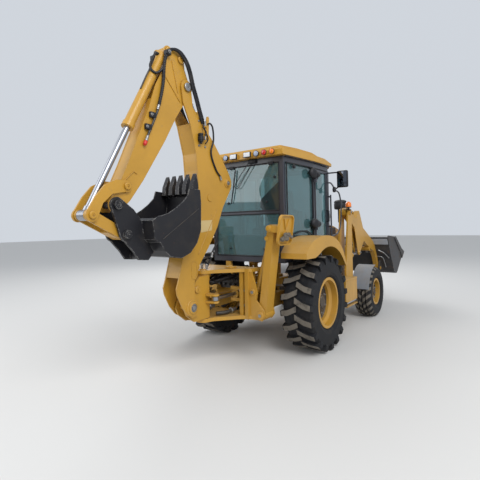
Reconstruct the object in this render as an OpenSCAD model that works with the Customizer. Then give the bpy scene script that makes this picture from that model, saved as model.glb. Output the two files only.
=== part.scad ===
// Backhoe loader: centre-pivot backhoe, front loader and cab, in millimetres.
// +X is forward, +Y is left, +Z is up, and the ground is at Z = 0.

/* [Running gear] */
// Where the rear axle lies ahead of the middle of the machine's length
rear_axle_x = -700; // [-900:5:-400]
// Rear axle to front axle
wheelbase = 2350; // [2250:10:2450]
// Rear tyre radius at the lugs' tips
rear_tyre_r = 650; // [630:5:665]
// Rear tyre width
rear_tyre_w = 450; // [420:5:470]
// Rear tyre's middle, out from the machine's middle
rear_track_y = 858; // [850:2:880]
// Rear rim's flange radius
rear_rim_r = 346; // [330:2:360]
// Front tyre radius at the lugs' tips
front_tyre_r = 460; // [440:5:470]
// Front tyre width
front_tyre_w = 345; // [320:5:350]
// Front tyre's middle, out from the machine's middle
front_track_y = 880; // [870:2:900]
// Front rim's flange radius
front_rim_r = 243; // [230:2:255]
// Depth of a tyre's lugs
lug_h = 38; // [28:2:44]
// Width of a lug's face
lug_w = 62; // [50:2:70]
// Lugs on each side of a rear tyre
rear_lugs = 19; // [15:1:22]
// Steering kingpin, out from the machine's middle
kingpin_y = 690; // [680:2:696]

/* [Chassis] */
// Half the distance between the frame rails' outer faces
rail_y = 400; // [380:5:410]
// Width of a frame rail
rail_w = 90; // [80:5:100]
// Height of a frame rail
rail_h = 190; // [170:5:200]
// Underside of the frame rails
rail_z = 590; // [580:5:610]
// Front end of the frame rails, ahead of the rear axle
rail_front = 2790; // [2750:10:2850]
// Rear frame's back face, behind the rear axle
rear_face = 1035; // [1030:1:1045]
// Rear frame's half width
rear_frame_y = 470; // [450:5:480]
// Height of the rear frame's top plate
rear_frame_top = 1190; // [1170:5:1210]
// Height of the rear frame's bottom plate
rear_frame_bottom = 560; // [550:5:580]
// Plate thickness of frames and brackets
plate_t = 25; // [18:1:30]
// Engine block's length
engine_l = 900; // [800:10:950]
// Hood's half width
hood_y = 370; // [350:5:390]
// Height of the hood's top at its rear
hood_top = 1790; // [1700:10:1850]

/* [Cab] */
// Cab's half width at the waist
cab_y = 700; // [680:5:710]
// Cab's half width at its rear posts
cab_rear_y = 620; // [600:5:640]
// Cab's rear face, behind the rear axle
cab_rear = 450; // [430:5:470]
// Cab's front face, ahead of the rear axle
cab_front = 1000; // [960:5:1020]
// Cab floor's height
cab_floor = 1210; // [1190:5:1230]
// Underside of the roof
roof_z = 2690; // [2670:5:2720]
// Roof thickness
roof_t = 135; // [120:5:150]
// Side of a cab post
post_w = 64; // [56:2:70]
// Glass thickness
glass_t = 6; // [5:1:8]

/* [Backhoe] */
// Swing pivot, behind the rear axle
swing_x = 1420; // [1400:5:1440]
// Swing post's side plates, out from its middle
post_y = 80; // [76:1:84]
// Boom's width over its side plates
boom_w = 224; // [216:2:240]
// Hoe bucket's width
hoe_w = 560; // [500:10:600]
// Pin radius at the boom and stick
pin_r = 32; // [26:1:36]
// Running clearance round a pin
pin_fit = 0.05; // [0.02:0.01:0.09]
// Side clearance between moving plates
side_gap = 8; // [6:1:12]

/* [Loader] */
// Loader bucket's width
bucket_w = 2120; // [2060:10:2180]
// Loader arm's middle plane, out from the machine's middle
arm_y = 735; // [720:5:750]
// Loader arm's thickness
arm_t = 80; // [70:2:90]

/* [Stabilizers] */
// Stabilizer leg's back face, behind the rear axle
stab_back = 1005; // [1000:1:1010]
// Stabilizer leg's depth along the machine
stab_w = 180; // [160:5:190]
// Stabilizer hinge, out from the machine's middle
stab_y = 590; // [580:5:600]
// Height of the stabilizer hinge
stab_z = 620; // [610:5:640]
// Leg length from hinge to pad pin
stab_l = 1080; // [1040:10:1090]

/* [Hidden] */
$fn = 48;
yellow = [0.88, 0.60, 0.10];
black = [0.09, 0.09, 0.10];
charcoal = [0.20, 0.20, 0.22];
chrome = [0.80, 0.81, 0.83];
rubber = [0.07, 0.07, 0.07];
grey = [0.45, 0.47, 0.50];
glass = [0.35, 0.55, 0.58, 0.5];
slack = 0.3;
gap = 8;
eps = 1;

// Pins of the backhoe, as [forward of the rear axle, height]
boom_foot = [-1730, 790];
boom_tip = [-1790, 3350];
boom_cyl_foot = [-1620, 980];
boom_cyl_head = [-1400, 2080];
stick_cyl_foot = [-1050, 2290];
stick_cyl_head = [-1870, 3650];
stick_end = [-2752, 1942];
hoe_cyl_foot = [-2055, 3690];
rocker_pin = [-2639, 2125];
rocker_end = [-3010, 1840];
link_end = [-2645, 1658];
// Pins of the loader
arm_pin = [1580, 1950];
bucket_pin = [3400, 790];
lift_foot = [800, 1060];
lift_head = [2150, 1200];
tilt_foot = [2200, 1950];
// Tilt cylinder's pin in the bucket's own frame, its pin at the origin and its floor along +X
bucket_roll = 34;
tilt_ear = [-15, 470];
tilt_head = bucket_pin + [cos(bucket_roll) * tilt_ear[0] - sin(bucket_roll) * tilt_ear[1],
    sin(bucket_roll) * tilt_ear[0] + cos(bucket_roll) * tilt_ear[1]];
// Pins of the stabilizers, as [out from the middle, height]
stab_hinge = [stab_y, stab_z];
stab_lean = 8;
stab_top = stab_hinge + stab_l * [sin(stab_lean), cos(stab_lean)];
stab_cyl_foot = [480, 900];
// Cylinder's pin in the leg's own frame, as [out, up]
stab_ear = [-40, stab_l - 130];
stab_cyl_head = stab_hinge + stab_ear[1] * [sin(stab_lean), cos(stab_lean)] + [stab_ear[0], 0];

// Paints a piece and sets it at its place behind or ahead of the rear axle
module paint(c) { color(c) translate([rear_axle_x, 0, 0]) children(); }
// Side profile, drawn as [forward, up], given a thickness from y0 to y0 + t
module plate(y0, t) { translate([0, y0 + t, 0]) rotate([90, 0, 0]) linear_extrude(t) children(); }
// Rear profile, drawn as [left, up], given a depth from x0 to x0 + t
module wall(x0, t) { translate([x0, 0, 0]) rotate([90, 0, 90]) linear_extrude(t) children(); }
// Disc across the machine at a pin p, from y0 to y1
module disc(p, r, y0, y1) { translate([p[0], y1, p[1]]) rotate([90, 0, 0]) cylinder(r = r, h = y1 - y0); }
// Disc along the machine at p = [left, up], from x0 to x1
module disc_x(p, r, x0, x1) { translate([x0, p[0], p[1]]) rotate([0, 90, 0]) cylinder(r = r, h = x1 - x0); }
// Box between two corners
module box(a, b) { translate(a) cube(b - a); }
// Both sides of the machine
module sides() { children(); mirror([0, 1, 0]) children(); }
// Turns what lies along +X at pin a so that it points to pin b, in a side view
module aim(a, b) {
    translate([a[0], 0, a[1]]) rotate([0, -atan2(b[1] - a[1], b[0] - a[0]), 0]) children();
}
// The same in a rear view, where a and b are [left, up] at the plane x
module aim_x(x, a, b) {
    translate([x, a[0], a[1]]) rotate([0, 0, 90]) rotate([0, -atan2(b[1] - a[1], b[0] - a[0]), 0]) children();
}
// Barrel of a hydraulic cylinder from the eye at the origin along +X, open for its rod
module barrel(l, r, rod_r, eye_r, eye_w, bore_r) {
    difference() {
        union() {
            translate([eye_r * 0.6, 0, 0]) rotate([0, 90, 0]) cylinder(r = r, h = l - eye_r * 0.6);
            translate([l - r, 0, 0]) rotate([0, 90, 0]) cylinder(r = r * 1.14, h = r);
            disc([0, 0], eye_r, -eye_w / 2, eye_w / 2);
        }
        disc([0, 0], bore_r, -eye_w, eye_w);
        translate([eye_r * 1.6, 0, 0]) rotate([0, 90, 0]) cylinder(r = rod_r + 3, h = l - r - eye_r * 1.6);
        translate([l - r - eps, 0, 0]) rotate([0, 90, 0]) cylinder(r = rod_r + pin_fit, h = r + 2 * eps);
    }
}
// Rod that ends in a solid eye at the origin and runs back along -X
module rod(l, r, eye_r, eye_w) {
    translate([-l, 0, 0]) rotate([0, 90, 0]) cylinder(r = r, h = l - eye_r * 0.5);
    translate([-eye_r * 1.5, 0, 0]) rotate([0, 90, 0]) cylinder(r = r * 1.25, h = eye_r);
    disc([0, 0], eye_r, -eye_w / 2, eye_w / 2);
}
// Plates of the boom and the stick, nested with a side gap between them
boom_t = 16;
boom_in = boom_w / 2 - boom_t;
stick_t = 14;
stick_half = boom_in - side_gap;
stick_ear_in = stick_half - stick_t;
function dist(a, b) = norm(b - a);
// A smooth line through points, with n steps between each two
function span_point(p, q, u, v, t) = 0.5 * (2 * q + (u - p) * t + (2 * p - 5 * q + 4 * u - v) * pow(t, 2)
    + (3 * q - p - 3 * u + v) * pow(t, 3));
function smooth(a, n) = [for (i = [0 : len(a) - 2]) for (k = [0 : n - 1])
    span_point(a[max(i - 1, 0)], a[i], a[i + 1], a[min(i + 2, len(a) - 1)], k / n), a[len(a) - 1]];

// Wheels. A tyre seats on its rim at the bead radius, between the rim's two flanges
bead_drop = 22;
flange_t = 12;
flange_in = 48;
hub_r = 105;
axle_r = 42;
// Section of a tyre's carcass, its tread at radius r and its sides set in a little from the lugs' ends
side_set_in = 8;
module tyre_section(r, w, rim_r) {
    b = w / 2 - flange_in;
    s = w / 2 - side_set_in;
    bead_r = rim_r - bead_drop;
    polygon([[bead_r, -b], [rim_r + 8, -b], [rim_r + 34, -s + 12], [rim_r + 70, -s],
        [r - 46, -s + 6], [r - 12, -s + 34], [r, -s + 84], [r, s - 84],
        [r - 12, s - 34], [r - 46, s - 6], [rim_r + 70, s],
        [rim_r + 34, s - 12], [rim_r + 8, b], [bead_r, b]]);
}
// The lugs' envelope on one side, square at the shoulder and as wide as the tyre
lug_start = -14;
module lug_section(r, w) {
    polygon([[r - 3 * lug_h, lug_start], [r - 3 * lug_h, w / 2 - 20], [r - 2.2 * lug_h, w / 2],
        [r - lug_h / 2, w / 2], [r, w / 2 - 24], [r, lug_start]]);
}
// One bar of the chevron in plan, as [round the tyre, across it]
module lug_plan(w) {
    h = lug_w * 0.58;
    polygon([[lug_w - h, lug_start], [lug_w + h, lug_start], [h, w * 0.24], [h - lug_w * 0.45, w / 2 + 20],
        [-h - lug_w * 0.45, w / 2 + 20], [-h, w * 0.24]]);
}
module lug_row(r, w, lugs) {
    intersection() {
        mirror([0, 1, 0]) rotate([90, 0, 0]) rotate_extrude($fn = 96) lug_section(r, w);
        for (i = [0 : lugs - 1]) rotate([0, 360 / lugs * i, 0]) translate([0, 0, r - 4 * lug_h])
            linear_extrude(5 * lug_h) lug_plan(w);
    }
}
module tyre(r, w, rim_r, lugs) {
    rotate([90, 0, 0]) rotate_extrude($fn = 96) tyre_section(r - lug_h, w, rim_r);
    lug_row(r, w, lugs);
    rotate([0, 180 / lugs, 0]) mirror([0, 1, 0]) lug_row(r, w, lugs);
}
// Front tyres carry four ribs between three grooves round the tread
groove_w = 26;
module ribbed_tyre(r, w, rim_r) {
    rotate([90, 0, 0]) rotate_extrude($fn = 96) difference() {
        tyre_section(r, w, rim_r);
        for (y = [-w / 5, 0, w / 5]) translate([r - lug_h, y - groove_w / 2]) square([2 * lug_h, groove_w]);
    }
}
// Rim about the Y axis with its disc set in from the outer flange by "dish", outer side at -Y
module rim(w, rim_r, dish, hub_l) {
    b = w / 2 - flange_in;
    bead_r = rim_r - bead_drop - slack;
    difference() {
        rotate([90, 0, 0]) rotate_extrude($fn = 96) union() {
            polygon([[bead_r - 14, -b - flange_t], [rim_r, -b - flange_t], [rim_r, -b - slack],
                [bead_r, -b - slack], [bead_r, b + slack], [rim_r, b + slack], [rim_r, b + flange_t],
                [bead_r - 14, b + flange_t], [bead_r - 14, b - 70], [bead_r - 55, b - 100],
                [bead_r - 55, -b + 60], [bead_r - 14, -b + 30]]);
            translate([hub_r - 10, b - dish - 16]) square([bead_r - 55 - hub_r + 20, 16]);
            translate([0, b - dish - hub_l]) square([hub_r, hub_l]);
            translate([0, b - dish]) square([hub_r - 25, 60]);
        }
        translate([0, 0, 0]) rotate([90, 0, 0]) translate([0, 0, b - dish - hub_l - eps])
            cylinder(r = axle_r + pin_fit, h = hub_l * 0.8);
    }
}
module at_rear_wheel(side) { translate([0, side * rear_track_y, rear_tyre_r]) children(); }
module at_front_wheel(side) { translate([wheelbase, side * front_track_y, front_tyre_r]) children(); }
module side_of(side) { mirror([0, side > 0 ? 1 : 0, 0]) children(); }
module tyre_rear(side) {
    paint(rubber) at_rear_wheel(side) side_of(side)
        tyre(rear_tyre_r, rear_tyre_w, rear_rim_r, rear_lugs);
}
module tyre_front(side) {
    paint(rubber) at_front_wheel(side) side_of(side)
        ribbed_tyre(front_tyre_r, front_tyre_w, front_rim_r);
}
rear_dish = 230;
rear_hub_l = 130;
front_dish = 110;
front_hub_l = 85;
module rim_rear(side) {
    paint(yellow) at_rear_wheel(side) side_of(side) rim(rear_tyre_w, rear_rim_r, rear_dish, rear_hub_l);
}
module rim_front(side) {
    paint(yellow) at_front_wheel(side) side_of(side)
        rim(front_tyre_w, front_rim_r, front_dish, front_hub_l);
}
// Where a hub's inner face lies, out from the machine's middle
rear_hub_y = rear_track_y + rear_tyre_w / 2 - flange_in - rear_dish - rear_hub_l;
front_hub_y = front_track_y + front_tyre_w / 2 - flange_in - front_dish - front_hub_l;

// Axles: a drive housing across the machine at the rear, and the steering beam at the front
housing_r = 95;
knuckle_gap = 10;
king_r = 28;
king_h = 150;
knuckle_t = 38;
module axles() {
    paint(black) {
        translate([0, 0, rear_tyre_r]) {
            disc([0, 0], housing_r, -rear_hub_y + 60, rear_hub_y - 60);
            disc([0, 0], 190, -130, 130);
            translate([0, 0, 0]) sides() disc([0, 0], 125, rear_hub_y - 90, rear_hub_y - gap);
            sides() disc([0, 0], axle_r, rear_hub_y - 20, rear_hub_y + rear_hub_l * 0.7);
        }
        translate([wheelbase, 0, front_tyre_r]) difference() {
            union() {
                disc([0, 0], 75, -kingpin_y + 60, kingpin_y - 60);
                disc([0, 0], 130, -100, 100);
                sides() translate([0, kingpin_y, -king_h / 2]) cylinder(r = 58, h = king_h);
                sides() box([-60, kingpin_y - 150, -60], [60, kingpin_y - 30, 60]);
            }
            sides() translate([0, kingpin_y, -king_h]) cylinder(r = king_r + pin_fit, h = 2 * king_h);
        }
        translate([wheelbase, 0, 0]) box([-70, -rail_y + 10, front_tyre_r + 60], [70, rail_y - 10, rail_z]);
        sides() box([-80, 310, rear_tyre_r + 60], [80, 400, rail_z + rail_h + 40]);
    }
}
// Steering knuckle: a fork over the beam's end, its kingpin, the wheel's stub and the flat fender
fender_t = 6;
module knuckle(side) {
    arm_top = king_h / 2 + knuckle_gap;
    paint(black) translate([wheelbase, 0, front_tyre_r]) side_of(-side) {
        translate([0, kingpin_y, -arm_top - knuckle_t]) cylinder(r = king_r, h = 2 * (arm_top + knuckle_t));
        for (z = [arm_top, -arm_top - knuckle_t]) {
            translate([0, kingpin_y, z]) cylinder(r = 60, h = knuckle_t);
            box([-50, kingpin_y, z], [50, kingpin_y + 95, z + knuckle_t]);
        }
        box([-50, kingpin_y + 65, -arm_top - knuckle_t], [50, kingpin_y + 95, arm_top + knuckle_t]);
        disc([0, 0], 80, kingpin_y + 90, front_hub_y - gap);
        disc([0, 0], axle_r, kingpin_y + 90, front_hub_y + front_hub_l * 0.7);
        // Steering arm and tie rod end behind the kingpin
        box([-190, kingpin_y - 25, arm_top], [0, kingpin_y + 25, arm_top + 30]);
        // Fender bracket behind the tyre and the flat fender over it
        box([-front_tyre_r - 50, kingpin_y - 24, arm_top], [-150, kingpin_y + 6, arm_top + 40]);
        box([-front_tyre_r - 50, kingpin_y - 24, arm_top], [-front_tyre_r - 25, kingpin_y + 110, arm_top + 160]);
        rotate([90, 0, 0]) translate([0, 0, -front_track_y - front_tyre_w / 2 + 25])
            intersection() {
                difference() {
                    cylinder(r = front_tyre_r + 45, h = front_tyre_w - 30);
                    translate([0, 0, -eps]) cylinder(r = front_tyre_r + 45 - fender_t, h = front_tyre_w);
                }
                linear_extrude(front_tyre_w) polygon([[0, 0], [-60, 900], [-900, 900], [-900, 180]]);
            }
    }
}

// Main frame: two box rails, cross members, loader towers and the nose that carries the grille
tower_t = 30;
tower_gap = arm_t / 2 + 14;
tower_foot = 1330;
tower_w = 330;
module tower_side() {
    polygon([[tower_foot, rail_z], [tower_foot + tower_w, rail_z], [tower_foot + tower_w, rail_z + rail_h + 60],
        [arm_pin[0] + 85, arm_pin[1] - 120], [arm_pin[0] + 70, arm_pin[1] + 40], [arm_pin[0], arm_pin[1] + 75],
        [arm_pin[0] - 70, arm_pin[1] + 40], [arm_pin[0] - 95, arm_pin[1] - 150], [tower_foot, rail_z + rail_h + 160]]);
}
// Round-topped lug about a pin p, down to a foot "drop" below it
tow_eye = [rail_front + 60, rail_z + 70];
tow_r = 22;
tow_t = 40;
module lug(p, r, drop) {
    translate(p) circle(r);
    translate(p + [-r, -drop]) square([2 * r, drop]);
}
module pin_y(p, r, y0, y1, cap) {
    disc(p, r, y0, y1);
    for (s = [[y0 - 10, y0], [y1, y1 + 10]]) disc(p, r + cap, s[0], s[1]);
}
module chassis() {
    paint(yellow) {
        sides() {
            box([-rear_face + 40, rail_y - rail_w, rail_z], [rail_front, rail_y, rail_z + rail_h]);
            // Blocks under the brackets of the lift cylinders
            box([lift_foot[0] - 90, rail_y - rail_w, rail_z + rail_h - 1], [lift_foot[0] + 90, rail_y, lift_foot[1] - 85]);
            // Mounts under the cab's front and rear bars
            for (x = [-cab_rear + 6, cab_front - post_w + 4])
                box([x, rail_y - rail_w, rail_z + rail_h - 1], [x + 50, rail_y, cab_floor]);
        }
        box([300, -rail_y + 10, rail_z + 20], [480, rail_y - 10, rail_z + rail_h - 20]);
        box([tower_foot, -rail_y + 10, rail_z + 20], [tower_foot + tower_w, rail_y - 10, rail_z + rail_h - 20]);
        box([rail_front - 30, -rail_y, rail_z - 60], [rail_front, rail_y, rail_z + rail_h + 40]);
        // Towing eye on the front cross member
        plate(-tow_t / 2, tow_t) difference() {
            union() {
                translate(tow_eye) circle(tow_r + 28);
                polygon([[rail_front - 1, rail_z - 50], [rail_front - 1, rail_z + 190], tow_eye + [10, 49], tow_eye + [10, -49]]);
            }
            translate(tow_eye) circle(tow_r);
        }
    }
}
module loader_towers() {
    paint(yellow) sides() {
        // Outrigger that carries a tower's two plates
        box([tower_foot, rail_y, rail_z + 20], [tower_foot + tower_w, arm_y - tower_gap, rail_z + rail_h]);
        for (y = [arm_y - tower_gap - tower_t, arm_y + tower_gap]) plate(y, tower_t) tower_side();
        box([tower_foot, arm_y - tower_gap - 1, rail_z], [tower_foot + tower_w, arm_y + tower_gap + 1, rail_z + 60]);
        pin_y(arm_pin, pin_r, arm_y - tower_gap - tower_t, arm_y + tower_gap + tower_t, 22);
        // Brackets of the lift cylinders' feet, over the side boxes
        box([lift_foot[0] - 90, rail_y, lift_foot[1] - 125], [lift_foot[0] + 90, arm_y + 65, lift_foot[1] - 85]);
        for (y = [arm_y - 60, arm_y + 40]) plate(y, 20) lug(lift_foot, 55, 90);
        pin_y(lift_foot, pin_r, arm_y - 60, arm_y + 60, 14);
    }
}

// Rear frame: top and bottom plates out to the swing pivot, a ribbed back wall with an open
// window for the swing cylinders, and the stabilizers' brackets
ear_r = 95;
ear_t = 45;
post_top = 1115;
post_bottom = 640;
swing_r = 45;
window_y = 285;
module ear_plate(z, t, r) {
    translate([0, 0, z]) linear_extrude(t) difference() {
        union() {
            translate([-swing_x, 0]) circle(r);
            polygon([[-swing_x, r], [-swing_x + 60, r + 20], [-rear_face - 60, window_y + 60],
                [-rear_face, rear_frame_y], [-rear_face + 170, rear_frame_y], [-rear_face + 170, -rear_frame_y],
                [-rear_face, -rear_frame_y], [-rear_face - 60, -window_y - 60], [-swing_x + 60, -r - 20],
                [-swing_x, -r]]);
        }
        translate([-swing_x, 0]) circle(swing_r + pin_fit);
    }
}
module stab_bracket_shape() {
    difference() {
        polygon([[rear_frame_y - 60, rear_frame_top], [rear_frame_y - 20, rear_frame_top],
            [stab_cyl_foot[0] + 40, stab_cyl_foot[1] + 90], [stab_cyl_foot[0] + 65, stab_cyl_foot[1] - 20],
            [stab_cyl_foot[0] + 50, stab_cyl_foot[1] - 100], [stab_hinge[0] + 50, stab_hinge[1] + 60],
            [stab_hinge[0] + 62, stab_hinge[1] - 10], [stab_hinge[0] + 20, stab_hinge[1] - 68],
            [stab_hinge[0] - 30, stab_hinge[1] - 60], [rear_frame_y - 60, rear_frame_bottom]]);
    }
}
module rear_frame() {
    paint(yellow) {
        ear_plate(rear_frame_top - ear_t, ear_t, ear_r);
        ear_plate(rear_frame_bottom, ear_t, ear_r);
        sides() {
            box([-rear_face, window_y, rear_frame_bottom + 1], [-rear_face + plate_t, rear_frame_y, rear_frame_top - 1]);
            for (y = [window_y + 20, window_y + 100])
                box([-rear_face - 40, y, rear_frame_bottom + 1], [-rear_face + 1, y + 50, rear_frame_top - 1]);
            box([-rear_face, rear_frame_y - 60 - plate_t, rear_frame_bottom + 1],
                [-rear_face + 170, rear_frame_y - 60, rear_frame_top - 1]);
            wall(-stab_back - gap - plate_t, plate_t) stab_bracket_shape();
            wall(-stab_back + stab_w + gap, plate_t) stab_bracket_shape();
            disc_x(stab_hinge, pin_r, -stab_back - gap - plate_t - 8, -stab_back + stab_w + gap + plate_t + 8);
            disc_x(stab_cyl_foot, 25, -stab_back - gap - plate_t - 8, -stab_back + stab_w + gap + plate_t + 8);
        }
    }
}

// Engine as one closed block between the rails, under the hood
engine_x = 1330;
module engine() {
    paint(charcoal) {
        box([engine_x, -300, 700], [engine_x + engine_l, 300, 1420]);
        box([engine_x + engine_l, -330, 800], [engine_x + engine_l + 130, 330, 1500]);
    }
}
hood_rear = 1160;
hood_front = 2460;
hood_skirt = 1130;
nose_top = 1560;
module hood_side() {
    polygon([[hood_rear, hood_skirt + 190], [hood_rear, hood_top], [hood_front - 500, hood_top - 90],
        [hood_front, nose_top], [hood_front, hood_skirt - 120], [1900, hood_skirt - 120]]);
}
module hood() {
    paint(yellow) difference() {
        plate(-hood_y, 2 * hood_y) hood_side();
        plate(-hood_y + 20, 2 * hood_y - 40) offset(delta = -20) hood_side();
        box([hood_rear - 10, -hood_y + 20, hood_skirt - 200], [hood_front - 20, hood_y - 20, hood_skirt + 300]);
    }
}
module grille() {
    paint(black) {
        box([hood_front, -hood_y, hood_skirt - 160], [hood_front + 40, hood_y, nose_top]);
        for (z = [hood_skirt - 110 : 70 : nose_top - 80])
            box([hood_front + 39, -hood_y + 40, z], [hood_front + 60, hood_y - 40, z + 30]);
        // Stand under the nose down to the frame
        box([hood_front - 60, -hood_y + 20, rail_z + rail_h], [hood_front + 40, hood_y - 20, hood_skirt - 159]);
    }
}
// Battery and tool box at the right, fuel tank at the left, each with its step below
box_x = [770, 1290];
box_y = 1010;
box_z = [500, 830];
module side_boxes() {
    paint(yellow) sides() {
        box([box_x[0], rail_y, box_z[0]], [box_x[1], box_y, box_z[1]]);
        box([box_x[0] + 20, box_y - 160, box_z[0] - 70], [box_x[1] - 20, box_y + 10, box_z[0] - 55]);
        for (x = [box_x[0] + 40, box_x[1] - 70]) box([x, box_y - 90, box_z[0] - 56], [x + 30, box_y - 70, box_z[0] + 1]);
    }
}
// Rear fenders: pressed shells over the rear wheels, closed by a skirt at the outer edge
fender_in = 712;
fender_out = 1075;
fender_shell = 8;
fender_top = 1580;
fender_crown = [[-718, 1370], [-590, 1480], [-400, 1548], [-160, fender_top], [60, 1572], [260, 1525],
    [430, 1430], [560, 1300], [655, 1120]];
fender_lower = [[640, 1090], [540, 1200], [400, 1318], [220, 1398], [20, 1425], [-180, 1400], [-340, 1336],
    [-460, 1300]];
module fender_line() {
    polygon(concat(smooth(fender_crown, 3), smooth(fender_lower, 3), [[-718, 1300]]));
}
module fender_hollow() {
    polygon(concat(smooth(fender_crown, 3), [[660, 900], [-718, 900]]));
}
module rear_fenders() {
    // Brackets from the cab's arch panel
    paint(yellow) sides() {
        box([-330, arch_y, 1470], [-250, fender_in + 20, fender_top - 24]);
        box([180, arch_y, 1430], [230, fender_in + 20, fender_top - 50]);
    }
    paint(yellow) sides() difference() {
        union() {
            plate(fender_in, fender_out - fender_in) fender_line();
        }
        plate(fender_in - eps, fender_out - fender_in - fender_shell)
            offset(delta = -fender_shell) fender_hollow();
    }
}

// Cab: a post frame with the windows open between its posts
cab_b = 350;
sill_z = 1290;
corner_x = 90;
corner_y = 150;
function cab_out(x) = x < cab_b ? cab_rear_y + (cab_y - cab_rear_y) * (x + cab_rear) / (cab_b + cab_rear) : cab_y;
module cab_plan(d) {
    polygon([[-cab_rear + d, cab_rear_y - d], [cab_b, cab_y - d], [cab_front - corner_x, cab_y - d],
        [cab_front - d, cab_y - corner_y - d], [cab_front - d, -cab_y + corner_y + d], [cab_front - corner_x, -cab_y + d],
        [cab_b, -cab_y + d], [-cab_rear + d, -cab_rear_y + d]]);
}
module post(x, y, z0, z1) { box([x - post_w / 2, y - post_w / 2, z0], [x + post_w / 2, y + post_w / 2, z1]); }
post_spots = [[-cab_rear + post_w / 2, cab_rear_y - post_w / 2], [cab_b, cab_y - post_w / 2],
    [cab_front - corner_x, cab_y - post_w / 2]];
// Wheel arches cut from the cab, and the panel inside each
arch_r = 705;
arch_y = 605;
module arch_panel() {
    intersection() {
        translate([0, rear_tyre_r]) circle(arch_r + 240);
        polygon([[-cab_rear, cab_floor], [cab_b, cab_floor], [cab_b, 1595], [-cab_rear, 1595]]);
    }
}
belt_z = 1600;
module cab_frame() {
    paint(black) difference() {
        cab_body();
        sides() disc([0, rear_tyre_r], arch_r, arch_y, 2 * cab_y);
    }
    paint(black) sides() plate(arch_y - 20, 20) arch_panel();
}
module cab_ring(z) {
    translate([0, 0, z]) linear_extrude(80) difference() {
        cab_plan(0);
        cab_plan(post_w);
    }
}
module cab_body() {
    sides() for (p = post_spots) post(p[0], p[1], cab_floor, belt_z);
    sides() post(cab_front - post_w / 2, cab_y - corner_y - post_w / 2, cab_floor, belt_z);
    cab_ring(cab_floor);
    sides() plate(cab_y - 40, 40) door_sill();
    // Rear wall below the window
    box([-cab_rear, -cab_rear_y + post_w - 1, cab_floor + 1], [-cab_rear + 30, cab_rear_y - post_w + 1, sill_z]);
}
module cab_posts() {
    paint(black) {
        sides() {
            for (p = post_spots) post(p[0], p[1], belt_z, roof_z - 80);
            post(cab_front - post_w / 2, cab_y - corner_y - post_w / 2, belt_z, roof_z - 80);
            // Fixed hinge knuckles with their pins
            for (z = hinge_z) {
                translate([hinge_x, hinge_y, z - 48]) cylinder(r = hinge_r, h = 48);
                translate([hinge_x, hinge_y, z - 48]) cylinder(r = hinge_r / 2, h = 96);
                box([cab_b - 20, cab_y - 1, z - 48], [hinge_x, hinge_y, z - 1]);
            }
        }
        // Bar across the rear window
        box([-cab_rear, -cab_rear_y + post_w - 1, 1900], [-cab_rear + 40, cab_rear_y - post_w + 1, 1935]);
    }
}
module cab_top() {
    paint(black) cab_ring(roof_z - 80);
}
// Mirror heads on their arms, and grab tubes ahead of the doors
mirror_y = 950;
module mirrors() {
    paint(black) sides() {
        disc([cab_front - corner_x, roof_z - 110], 12, cab_y, mirror_y);
        box([cab_front - corner_x - 14, mirror_y - 80, roof_z - 350], [cab_front - corner_x + 14, mirror_y + 80, roof_z - 100]);
        translate([cab_front - corner_x, cab_y + 42, 1540]) cylinder(r = 13, h = 680);
        for (z = [1700, 2190])
            box([cab_front - corner_x - 12, cab_y, z - 13], [cab_front - corner_x + 12, cab_y + 42, z + 13]);
    }
}
// Roof in side view: a lamp visor at the rear, a crown, and a fall towards the front
roof_over = 30;
roof_line = [[-cab_rear - 105, roof_z], [-cab_rear - 112, roof_z + 72], [-cab_rear - 80, roof_z + roof_t - 8],
    [-cab_rear + 120, roof_z + roof_t], [-100, roof_z + roof_t + 8], [cab_b - 60, roof_z + roof_t + 4],
    [700, roof_z + 82], [cab_front + roof_over - 10, roof_z + 26], [cab_front + roof_over, roof_z - 6],
    [cab_front + roof_over - 20, roof_z - 22], [cab_front - 1, roof_z - 1], [cab_front - 1, roof_z]];
lamp_r = 38;
lamp_y = [270, 400, 525];
lamp_z = roof_z + 46;
module cab_roof() {
    paint(yellow) {
        intersection() {
            plate(-2 * cab_y, 4 * cab_y) polygon(roof_line);
            union() {
                translate([0, 0, roof_z - 60]) linear_extrude(60 + roof_t * 0.66) offset(r = 55)
                    offset(delta = -25) roof_plan();
                translate([0, 0, roof_z - 60]) linear_extrude(60 + 2 * roof_t) offset(r = 55)
                    offset(delta = -75) roof_plan();
            }
        }
        // Lamp bodies in the visor: round ones at the sides and two work lamps in the middle
        sides() {
            for (y = lamp_y) disc_x([y, lamp_z], lamp_r - 2, -cab_rear - 124, -cab_rear - 90);
            box([-cab_rear - 130, 60, lamp_z - 34], [-cab_rear - 90, 184, lamp_z + 34]);
        }
    }
}
module roof_plan() {
    polygon([[-cab_rear - 115, -cab_rear_y - 28], [-cab_rear, -cab_rear_y - 34], [cab_b, -cab_y - 28],
        [cab_front - 60, -cab_y - 28], [cab_front + roof_over, -cab_y + 110], [cab_front + roof_over, cab_y - 110],
        [cab_front - 60, cab_y + 28], [cab_b, cab_y + 28], [-cab_rear, cab_rear_y + 34], [-cab_rear - 115, cab_rear_y + 28]]);
}
module cab_glass() {
    paint(glass) {
        box([-cab_rear + 8, -cab_rear_y + post_w, 1935], [-cab_rear + 8 + glass_t, cab_rear_y - post_w, roof_z - 80]);
        box([-cab_rear + 8, -cab_rear_y + post_w, sill_z], [-cab_rear + 8 + glass_t, cab_rear_y - post_w, 1900]);
        box([cab_front - 20, -cab_y + corner_y + post_w, cab_floor + 80],
            [cab_front - 20 + glass_t, cab_y - corner_y - post_w, roof_z - 80]);
        sides() {
            translate([-cab_rear + post_w, cab_out(-cab_rear + post_w) - 20, 1580])
                rotate([0, 0, atan2(cab_y - cab_rear_y, cab_b + cab_rear)])
                cube([cab_b + cab_rear - post_w * 1.5, glass_t, roof_z - 80 - 1580]);
        }
    }
}
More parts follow.
